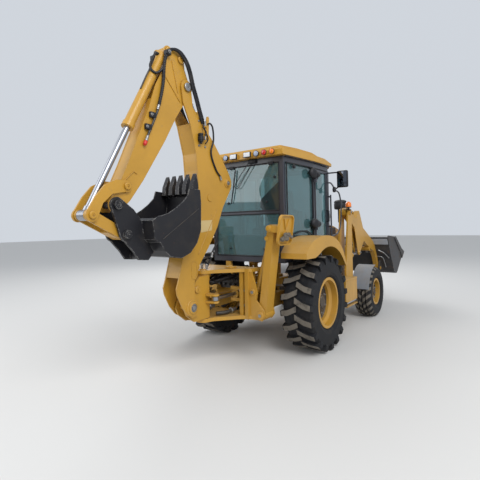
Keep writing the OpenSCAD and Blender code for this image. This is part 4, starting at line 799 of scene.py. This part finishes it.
def dress_weld_seams():
    """Weld seams on the stick's head and on the digging bucket's sides."""
    for side, tag in SIDES:
        bm = bmesh.new()
        for start, end in (((-2003, 3600), (-1914, 3253)), ((-2095, 3378), (-1880, 3156))):
            add_tube(bm, [at(start[0], side * 92, start[1]), at(end[0], side * 92, end[1])], 0.006, 6)
        add_tube(bm, [at(x, side * 92, z) for x, z in ((-2669, 2162), (-2537, 2281), (-2498, 2263))], 0.006, 6)
        make_piece("stick_seams_" + tag, bm, "yellow_arm", "stick")
        bm = bmesh.new()
        add_tube(bm, [at(-1790, side * 280, 1928), at(-2330, side * 280, 1602)], 0.005, 6)
        make_piece("hoe_bucket_seam_" + tag, bm, "oily", "hoe_bucket")


def fitting(bm, centre, axis, radius):
    """A hose end: crimped sleeve and a hexagon nut."""
    axis = axis.normalized()
    add_turned(bm, centre, axis, [(0, radius * 1.25), (radius * 3.2, radius * 1.3), (radius * 3.3, radius * 0.9)], 16)
    part = bmesh.new()
    add_prism(part, circle_points(centre + axis * radius * 3.3, axis, radius * 1.5, 6), axis * radius * 1.5)
    round_edges(part, radius * 0.1, 1)
    merge(bm, part)


# Lines of the hoses that bend from the boom over to the stick, as (x, distance out, z)
JOINT_LINES = [
    [(-1541, 122, 2979), (-1576, 130, 3036), (-1631, 138, 3141), (-1674, 142, 3240), (-1737, 142, 3387),
     (-1780, 142, 3518), (-1822, 140, 3605), (-1864, 134, 3663), (-1929, 126, 3712), (-2018, 120, 3715),
     (-2108, 116, 3660)],
    [(-1506, 122, 2987), (-1542, 130, 3044), (-1597, 138, 3150), (-1641, 142, 3249), (-1704, 142, 3397),
     (-1748, 142, 3529), (-1790, 140, 3616), (-1833, 134, 3674), (-1898, 126, 3723), (-1988, 120, 3727),
     (-2079, 116, 3671)],
]
# Loop from the stick to the base of the bucket cylinder
CYLINDER_LOOP = [(-2173, -12, 3645), (-2227, -12, 3542), (-2257, -20, 3467), (-2251, -44, 3414), (-2219, -76, 3391),
                 (-2172, -100, 3428), (-2137, -112, 3489)]


def free_hose(name, line, radius):
    """A hose between two bodies that move against each other."""
    bm = bmesh.new()
    add_tube(bm, line, radius, 12)
    hose = mesh_object(name, bm, "hose")
    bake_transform(hose)


def joint_hoses():
    for side, tag in SIDES:
        for i, points in enumerate(JOINT_LINES):
            line = smooth_path([at(x, side * out, z) for x, out, z in points], 6)
            free_hose("joint_hose_%s_%d" % (tag, i), line, 0.0155)
    free_hose("bucket_cylinder_hose", smooth_path(places(CYLINDER_LOOP), 8), 0.014)
    tube("bucket_cylinder_pipe", [(-2189, -12, 3595), (-2242, -14, 3472), (-2317, -16, 3327), (-2386, -18, 3183)],
         0.008, "oily", "hoe_barrel")
    turned("bucket_cylinder_port", at(*CYLINDER_LOOP[0]) + FORWARD * 0.040, -FORWARD,
           [(0, 0.019), (0.040, 0.019), (0.052, 0.016), (0.054, 0.0)], 20, "oily", "hoe_barrel")
    # Hoses from the boom's foot down to the swing post
    for i, y in enumerate((-88, 71)):
        points = places([(-1345, y, 1390), (-1358, y * 0.9, 1330), (-1385, y * 0.7, 1268), (-1400, y * 0.5, 1212)])
        free_hose("boom_foot_link_%d" % i, smooth_path(points, 8), 0.012)


def swing_hoses():
    """Hoses through the rear frame's window to the swing post."""
    for i in range(8):
        y = -150 + 43 * i
        row = i % 3
        points = places([(-900, y * 1.2, 1088 - 26 * row), (-1040, y * 1.1, 1085 - 26 * row),
                         (-1180, y * 0.75, 1060 - 22 * row), (-1300, y * 0.5, 1035 - 18 * row),
                         (-1390, y * 0.36 + (80 if y > 0 else -80), 1040)])
        free_hose("swing_hose_%d" % i, smooth_path(points, 6), 0.014)


def dress_hoses():
    for name, body, radius, finish, points in HOSES:
        tube(name, points, radius / 1000, finish, body)
    groups = {}
    for body, point, direction, radius in FITTINGS:
        fitting(groups.setdefault(body, bmesh.new()), at(*point), Vector(direction), radius / 1000)
    for body, bm in groups.items():
        make_piece("hose_fittings_" + body, bm, "zinc", body)
    dress_valve()
    dress_stick_clamps()
    dress_boom_side()
    dress_weld_seams()
    joint_hoses()
    swing_hoses()


# ---- Cab

def lamp(name, centre, normal, width, height, depth, finish):
    """A rectangular lamp: its lens set in a rounded housing."""
    side, up = basis(normal)
    normal = normal.normalized()
    # As (piece, share of the width, share of the height, start and depth as shares of the depth, rounding, finish)
    for part, wide, high, start, deep, bevel, paint in (("_housing", 0.5, 0.5, 0.0, 1.0, 0.16, "plastic"),
                                                        ("_lens", 0.42, 0.40, 0.8, 0.32, 0.12, finish)):
        outline = [centre + normal * depth * start + side * a * width * wide + up * b * height * high
                   for a, b in ((-1, -1), (1, -1), (1, 1), (-1, 1))]
        bm = bmesh.new()
        add_prism(bm, outline, normal * depth * deep)
        round_edges(bm, min(width, height) * bevel, 3)
        make_piece(name + part, bm, paint)


def round_lamp(name, centre, normal, radius, finish):
    turned(name + "_ring", centre, normal,
           [(-0.010, radius * 0.9), (0.012, radius * 1.08), (0.020, radius * 1.08), (0.022, radius)],
           28, "plastic")
    turned(name + "_lens", centre, normal,
           [(0.012, radius * 0.97), (0.024, radius * 0.93), (0.030, radius * 0.8), (0.034, radius * 0.5),
            (0.035, 0.0)], 28, finish)


def dress_roof():
    back = Vector((-1, 0, 0.02))
    for side, tag in SIDES:
        for finish, y, radius in (("lamp_blue", 270, 0.040), ("lamp_red", 400, 0.038), ("lamp_orange", 525, 0.038)):
            round_lamp("roof_%s_%s" % (finish[5:], tag), at(-571, side * y, 2736), back, radius, finish)
        lamp("rear_work_lamp_" + tag, at(-574, side * 122, 2736), back, 0.128, 0.080, 0.030, "lamp_clear")
        lamp("front_work_lamp_" + tag, at(1022, side * 430, 2695), FORWARD, 0.15, 0.034, 0.008, "lamp_clear")
    # Drip rail under the roof's edge
    for side, tag in SIDES:
        tube("drip_rail_" + tag, [(-440, side * 655, 2690), (350, side * 722, 2690), (905, side * 722, 2684)], 0.010,
             "black_paint")


# Round catches and latch boxes on the rear window's plane, as (y, z, radius in mm)
REAR_KNOBS = [(329, 2072, 18), (-484, 2401, 18), (-349, 2063, 16), (300, 1400, 15), (-300, 1400, 15)]


def dress_rear_window():
    # Wiper motor, its two arms and the blade
    rounded_box("wiper_motor", (-486, -190, 2630), (-446, -60, 2690), 0.008, "plastic")
    bm = bmesh.new()
    for line in ([(-482, -98, 2668), (-484, 60, 2490), (-480, 194, 2317)],
                 [(-482, -170, 2668), (-484, -20, 2470), (-480, 115, 2293)],
                 [(-480, 112, 2292), (-478, 150, 2285), (-480, 196, 2320), (-476, 212, 2330)]):
        add_tube(bm, smooth_path(places(line), 5), 0.0055, 8)
    make_piece("wiper_arms", bm, "plastic")
    bm = bmesh.new()
    add_tube(bm, smooth_path(places([(-468, 180, 2560), (-472, 212, 2330), (-468, 262, 2060)])), 0.009, 8)
    make_piece("wiper_blade", bm, "hose")
    # Seals round the two panes
    for name, low, high in (("upper_seal", 1938, 2606), ("lower_seal", 1294, 1897)):
        corners = [(-447, -553, low), (-447, 553, low), (-447, 553, high), (-447, -553, high)]
        seal("rear_" + name, places(corners), 0.011)
    # Dark teal sheet in the corner of the upper pane: painted shade for the unlit cab inside seen through the glass
    bm = bmesh.new()
    add_prism(bm, [at(-450, y, z) for y, z in ((-552, 2340), (-262, 2112), (-240, 2060), (-240, 2009), (-278, 1938),
                                               (-552, 1938))], FORWARD * 0.006)
    make_piece("rear_pane_painted_shade", bm, "painted_cab_shade")
    bm = bmesh.new()
    for y, z, radius in REAR_KNOBS:
        r = radius / 1000
        add_turned(bm, at(-440, y, z), -FORWARD,
                   [(0, r), (0.016, r), (0.024, r * 0.8), (0.026, r * 0.4), (0.026, 0)], 20)
    for y in (252, -432):
        add_box(bm, at(-472, y - 40, 2578), at(-446, y + 40, 2622), 0.006)
    make_piece("rear_window_catches", bm, "plastic")


def dress_door(side, tag):
    body = "door_" + tag
    ring = ((392, 1502), (560, 1450), (740, 1332), (868, 1332), (868, 2600), (392, 2600))
    seal("door_seal_" + tag, [at(x, side * 701, z) for x, z in ring], 0.008, body, 0.02)
    tube("door_handle_" + tag, [(830, side * 702, 1960), (822, side * 735, 1950), (822, side * 735, 1800),
                                (830, side * 702, 1790)], 0.010, "plastic", body)
    rounded_box("door_latch_" + tag, (838, side * 736 - 14, 1840), (868, side * 736 + 14, 1900), 0.006, "zinc", body)


def dress_cab_side(side, tag):
    # Round hinge covers on the B post
    for x, z in ((262, 2508), (288, 1750)):
        bm = bmesh.new()
        add_turned(bm, at(x, side * 690, z), Vector((-0.32, side, 0)),
                   [(0, 0.040), (0.020, 0.052), (0.036, 0.072), (0.068, 0.076), (0.086, 0.066), (0.096, 0.046),
                    (0.100, 0.018), (0.100, 0.0)], 28)
        add_box(bm, at(x, side * 724 - 24, z - 50), at(386, side * 724 + 24, z + 46), 0.014)
        add_turned(bm, at(386, side * 742, z - 8), FORWARD,
                   [(-0.05, 0.040), (0.012, 0.048), (0.036, 0.042), (0.048, 0.0)], 20)
        make_piece("post_hinge_%s_%d" % (tag, z), bm, "plastic")
    # Mirror head on its bent tube
    tube("mirror_arm_" + tag, [(905, side * 700, 2420), (918, side * 745, 2415), (928, side * 782, 2360),
                               (928, side * 800, 2318), (930, side * 850, 2330), (926, side * 905, 2390)],
         0.012, "black_paint")
    tube("front_grab_tube_" + tag, [(928, side * 800, 2290), (1060, side * 800, 2284), (1147, side * 800, 2239),
                                    (1215, side * 796, 2100), (1235, side * 790, 1933), (1220, side * 780, 1726),
                                    (1150, side * 768, 1610), (1047, side * 756, 1565), (912, side * 744, 1545)],
         0.012, "black_paint")
    turned("mirror_joint_" + tag, at(928, side * 800, 2290), UP,
           [(-0.03, 0.014), (-0.02, 0.026), (0.02, 0.030), (0.05, 0.024), (0.06, 0.012)], 20, "plastic")
    rounded_box("mirror_" + tag, (884, side * 950 - 92, 2328), (940, side * 950 + 92, 2602), 0.022, "plastic")
    rounded_box("mirror_glass_" + tag, (881, side * 950 - 76, 2346), (888, side * 950 + 76, 2584), 0.003, "mirror")
    # Knob and seal of the rear side pane
    turned("pane_knob_" + tag, at(-200, side * 652, 2560), LEFT * side,
           [(0, 0.030), (0.016, 0.030), (0.022, 0.024), (0.024, 0.0)], 24, "plastic")
    pane = ((-380, 2600), (-380, 1640), (-250, 1600), (-60, 1640), (120, 1640), (312, 1560), (312, 2600))
    seal("side_seal_" + tag, [at(x, side * (636 + 0.1 * (x + 386)), z) for x, z in pane], 0.010)


def cushion(name, low, high, crown):
    """A stuffed seat part: a crowned block with rounded edges."""
    bm = bmesh.new()
    size = high - low
    bmesh.ops.create_grid(bm, x_segments=10, y_segments=10, size=0.5)
    for vert in bm.verts:
        lift = (1 - (2 * vert.co.x) ** 4) * (1 - (2 * vert.co.y) ** 4)
        vert.co = Vector((low.x + (vert.co.x + 0.5) * size.x, low.y + (vert.co.y + 0.5) * size.y,
                          high.z - crown + crown * lift))
    extruded = bmesh.ops.extrude_face_region(bm, geom=bm.faces[:])
    for vert in [item for item in extruded["geom"] if isinstance(item, bmesh.types.BMVert)]:
        vert.co.z = low.z
    round_edges(bm, 0.012)
    piece = make_piece(name, bm, "seat", smooth_angle=60)


def dress_interior():
    cushion("seat_cushion", at(70, -245, 1662), at(520, 245, 1735), 0.030)
    cushion("seat_back", at(440, -240, 1740), at(530, 240, 2330), 0.040)
    tube("loader_lever", [(640, -420, 1300), (640, -420, 1800), (620, -415, 1930)], 0.011, "plastic")
    for i, y in enumerate((-130, 130)):
        tube("hoe_lever_%d" % i, [(-250, y, 1290), (-262, y, 1640), (-235, y, 1790)], 0.011, "plastic")
        turned("hoe_knob_%d" % i, at(-235, y, 1780), UP,
               [(0, 0.014), (0.02, 0.026), (0.06, 0.028), (0.085, 0.02), (0.092, 0.0)], 20, "plastic")
    rounded_box("hoe_console", (-340, -240, 1262), (-180, 240, 1600), 0.02, "plastic")
    rounded_box("side_console", (120, -500, 1262), (620, -400, 1560), 0.02, "plastic")


def dress_cab():
    dress_roof()
    dress_rear_window()
    for side, tag in SIDES:
        dress_door(side, tag)
        dress_cab_side(side, tag)
    dress_interior()


# ---- Stabilizers, rear frame and loader

def lump(bm, centre, size, seed):
    """A rough clod about a centre."""
    chance = random.Random(seed)
    part = bmesh.new()
    bmesh.ops.create_icosphere(part, subdivisions=2, radius=1.0)
    for vert in part.verts:
        swell = 0.78 + 0.34 * chance.random()
        vert.co = centre + Vector((vert.co.x * size[0], vert.co.y * size[1], vert.co.z * size[2])) * swell
    merge(bm, part)


def dress_stabilizers():
    for side, tag in SIDES:
        chance = random.Random(5 + side)
        bm = bmesh.new()
        for i in range(26):
            x = -915 + chance.uniform(-125, 125)
            z = 1550 + chance.uniform(0, 1) * (86 - abs(x + 915) * 0.4)
            lump(bm, at(x, side * (914 + chance.uniform(-6, 8)), z),
                 (chance.uniform(0.018, 0.042), 0.016, chance.uniform(0.014, 0.034)), i)
        make_piece("pad_soil_" + tag, bm, "soil", "stab_pad_" + tag, 80)
        bm = bmesh.new()
        for x in (-1051, -779):
            add_turned(bm, at(x, side * 740.3, 1689.5), FORWARD * (-1 if x < -915 else 1),
                       [(-0.004, 0.038), (0.010, 0.038), (0.014, 0.032), (0.014, 0.016), (0.008, 0.014),
                        (0.008, 0.0)], 28)
        make_piece("pad_pin_heads_" + tag, bm, "yellow_arm", "stab_pad_" + tag)
        # Pin heads and their bolts on the rear face of the frame's brackets
        rings = bmesh.new()
        studs = bmesh.new()
        for y, z, radius in ((590, 620, 0.050), (480, 900, 0.040)):
            centre = at(-1040, side * y, z)
            add_turned(rings, centre, -FORWARD,
                       [(-0.006, radius), (0.012, radius), (0.016, radius * 0.9), (0.016, 0.0)], 32)
            add_bolt(studs, centre - FORWARD * 0.016, -FORWARD, 0.026, 0.013)
        make_piece("stabilizer_pin_heads_" + tag, rings, "yellow_arm")
        make_piece("stabilizer_pin_bolts_" + tag, studs, "zinc")


def dress_rear_frame():
    bm = bmesh.new()
    for side in BOTH_SIDES:
        for y, z in ((292, 905), (352, 908), (292, 722), (352, 724)):
            add_bolt(bm, at(-1035, side * y, z), -FORWARD, 0.030, 0.018)
    make_piece("frame_wall_bolts", bm, "zinc")
    bm = bmesh.new()
    for side in BOTH_SIDES:
        centre = at(-1085, side * 180, 652)
        add_turned(bm, centre, -FORWARD, [(-0.08, 0.024), (0.0, 0.024), (0.0, 0.036), (0.014, 0.036), (0.018, 0.030),
                                          (0.018, 0.014), (0.012, 0.012), (0.012, 0.0)], 28)
    make_piece("lower_link_pin_ends", bm, "zinc")
    bm = bmesh.new()
    for side in BOTH_SIDES:
        line = places([(-1085, side * 180, 652), (-1180, side * 160, 640), (-1290, side * 96, 640)])
        add_tube(bm, smooth_path(line, 6), 0.024, 14)
    make_piece("lower_link_bars", bm, "oily")
    # Latch block and its pin on the frame's top plate
    bm = bmesh.new()
    add_box(bm, at(-1180, -250, 1190), at(-1060, -160, 1214), 0.006)
    add_turned(bm, at(-1120, -205, 1214), UP, [(0, 0.026), (0.012, 0.026), (0.016, 0.020), (0.016, 0.0)], 24)
    make_piece("boom_latch", bm, "yellow_arm")
    # Control valve behind the window, under the cab
    bm = bmesh.new()
    add_box(bm, at(-930, -240, 900), at(-820, 240, 1080), 0.012)
    for i in range(6):
        y = -200 + 80 * i
        add_turned(bm, at(-930, y, 1020), -FORWARD,
                   [(0, 0.026), (0.034, 0.026), (0.040, 0.018), (0.060, 0.016), (0.062, 0.0)], 18)
        add_turned(bm, at(-930, y, 950), -FORWARD, [(0, 0.020), (0.030, 0.020), (0.034, 0.0)], 14)
    make_piece("control_valve", bm, "oily")


def dress_hood():
    # Air cleaner's cap on its stack, and the orange lamp on its bracket beside the tower
    turned("air_cleaner", at(2480, -310, 1780), UP,
           [(0, 0.055), (0.26, 0.055), (0.262, 0.075), (0.270, 0.118), (0.300, 0.128), (0.380, 0.128), (0.395, 0.120),
            (0.40, 0.128), (0.430, 0.124), (0.452, 0.098), (0.462, 0.050), (0.464, 0.0)], 36, "plastic")
    bm = bmesh.new()
    add_box(bm, at(1450, -852, 1984), at(1572, -818, 1996), 0.002)
    add_turned(bm, at(1480, -832, 1996), UP, [(0, 0.018), (0.03, 0.018), (0.03, 0.050), (0.042, 0.053)], 28)
    make_piece("side_lamp_foot", bm, "plastic")
    turned("side_lamp_lens", at(1480, -832, 2036), UP,
           [(0, 0.052), (0.050, 0.050), (0.076, 0.042), (0.092, 0.022), (0.098, 0.0)], 28, "lamp_orange")
    # Side panels' louvres and handles, and the exhaust
    for side, tag in SIDES:
        bm = bmesh.new()
        for i in range(8):
            add_box(bm, at(1700 + 42 * i, side * 372 - 5, 1520), at(1724 + 42 * i, side * 372 + 5, 1680), 0.004)
        make_piece("hood_louvres_" + tag, bm, "black_paint")
        rounded_box("hood_handle_" + tag, (1200, side * 376 - 10, 1560), (1300, side * 376 + 10, 1586), 0.007,
                    "plastic")
    turned("exhaust_stack", at(1500, 300, 1770), UP,
           [(0, 0.040), (0.50, 0.040), (0.50, 0.034), (0.42, 0.034), (0.42, 0.0)], 24, "oily")


def dress_side_boxes():
    (back, front), (bottom, top) = BOX_X, BOX_Z
    for side, tag in SIDES:
        y = side * BOX_Y
        low, high = min(y, y - side * 300), max(y, y - side * 300)
        rounded_box("box_lid_" + tag, (back - 4, low - 6, top - 2), (front + 4, high + 6, top + 30), 0.008, "yellow")
        bm = bmesh.new()
        add_box(bm, at(back + 20, low + 10, bottom - 26), at(front - 20, high - 10, bottom - 2), 0.004)
        for i in range(6):
            x = back + 50 + 72 * i
            add_box(bm, at(x, low + 20, bottom - 32), at(x + 30, high - 20, bottom - 24), 0.002)
        make_piece("box_step_" + tag, bm, "grey_and_sky_sheen")


def dress_loader():
    # Pipes along the arms' inner sides
    for side, tag in SIDES:
        y = side * 683
        tube("arm_pipe_" + tag, [(1720, y, 1900), (2040, y, 1770), (2180, y, 1840), (2230, y, 1905)], 0.009,
             "oily", "loader_arms")
        tube("arm_pipe_low_" + tag, [(1720, y, 1870), (2100, y, 1600), (2240, y, 1430), (2170, y, 1290)], 0.009,
             "oily", "loader_arms")


# Hinge of the loader bucket as (x, z) in millimetres, and its roll in degrees
BUCKET_HINGE = (3400, 790)
BUCKET_ROLL = 34
# Pipes on the bucket's back sheet, as (x, distance out, z)
BUCKET_PIPES = [
    [(3233, 825, 1183), (3276, 935, 1119), (3349, 1015, 1011)],
    [(3326, 689, 1045), (3338, 874, 1028), (3413, 903, 917), (3490, 911, 803)],
]


def in_bucket(u, v, y):
    """A point of the loader bucket, u ahead of its hinge and v above it before its roll, in millimetres."""
    roll = math.radians(BUCKET_ROLL)
    return at(BUCKET_HINGE[0] + u * math.cos(roll) - v * math.sin(roll), y,
              BUCKET_HINGE[1] + u * math.sin(roll) + v * math.cos(roll))


def dress_loader_bucket():
    """A thin pale grey sheet of painted sky sheen over the spill guard along the back sheet's top, and the pipes on
    the sheet.
    """
    # The dark spill guard faces rearward and up; its pale bluish grey here is a painted reflection of the sky
    bm = bmesh.new()
    add_prism(bm, [in_bucket(u, v, -1052) for u, v in ((93, 556), (93, 697), (101, 697), (101, 556))], LEFT * 2.104)
    round_edges(bm, 0.002, 1)
    make_piece("spill_guard_painted_sheen", bm, "grey_and_sky_sheen", "loader_bucket")
    bm = bmesh.new()
    for side in BOTH_SIDES:
        for line in BUCKET_PIPES:
            add_tube(bm, smooth_path([at(x, side * out, z) for x, out, z in line], 6), 0.011, 10)
    make_piece("bucket_pipes", bm, "zinc", "loader_bucket")


def make_stage():
    bm = bmesh.new()
    bmesh.ops.create_grid(bm, x_segments=1, y_segments=1, size=60)
    mesh = bpy.data.meshes.new("floor")
    bm.to_mesh(mesh)
    bm.free()
    floor = add_object("floor", mesh)
    pale = bpy.data.materials.new("pale_floor")
    pale.use_nodes = True
    shader = pale.node_tree.nodes["Principled BSDF"]
    shader.inputs["Base Color"].default_value = (0.62, 0.61, 0.59, 1)
    shader.inputs["Roughness"].default_value = 0.9
    mesh.materials.append(pale)
    world = bpy.data.worlds.new("studio")
    bpy.context.scene.world = world
    world.use_nodes = True
    sky = world.node_tree.nodes["Background"]
    sky.inputs["Color"].default_value = (0.84, 0.89, 0.96, 1)
    sky.inputs["Strength"].default_value = 0.75
    # Key, fill and rim lamps as (name, place, size, watts)
    for name, place, size, power in (("key", (-6, -8, 9), 6, 900), ("fill", (-9, 5, 6), 7, 350),
                                     ("rim", (7, 6, 8), 6, 500)):
        light = bpy.data.lights.new(name, "AREA")
        light.energy = power
        light.size = size
        holder = add_object(name, light)
        holder.location = place
        holder.rotation_euler = (Vector((0, 0, 1.3)) - Vector(place)).to_track_quat("-Z", "Y").to_euler()


# The picture's width and the fitted camera's focal length, in pixels
PICTURE = 480
FOCAL = 372.4


def make_camera():
    """The photograph's own view."""
    yaw, pitch, roll = (math.radians(a) for a in (35.771, 2.167, -0.927))
    forward = Vector((math.cos(pitch) * math.cos(yaw), math.cos(pitch) * math.sin(yaw), math.sin(pitch)))
    right = Vector((math.sin(yaw), -math.cos(yaw), 0))
    above = right.cross(forward)
    rolled_right = math.cos(roll) * right + math.sin(roll) * above
    rolled_up = -math.sin(roll) * right + math.cos(roll) * above
    lens = bpy.data.cameras.new("photo_view")
    lens.sensor_width = 36
    lens.lens = 36 * FOCAL / PICTURE
    lens.shift_x = -0.5 / PICTURE
    lens.shift_y = -26.5 / PICTURE
    lens.clip_end = 200
    camera = add_object("photo_view", lens)
    turn = Matrix((rolled_right, rolled_up, -forward)).transposed()
    camera.matrix_world = Matrix.Translation(at(-4915, -3107, 1706)) @ turn.to_4x4()
    bpy.context.scene.camera = camera


dress_frame()
dress_wheels()
dress_pins()
dress_hoses()
dress_cab()
dress_stabilizers()
dress_rear_frame()
dress_hood()
dress_side_boxes()
dress_loader()
dress_loader_bucket()
make_stage()
make_camera()
bpy.context.scene.view_settings.view_transform = "Standard"
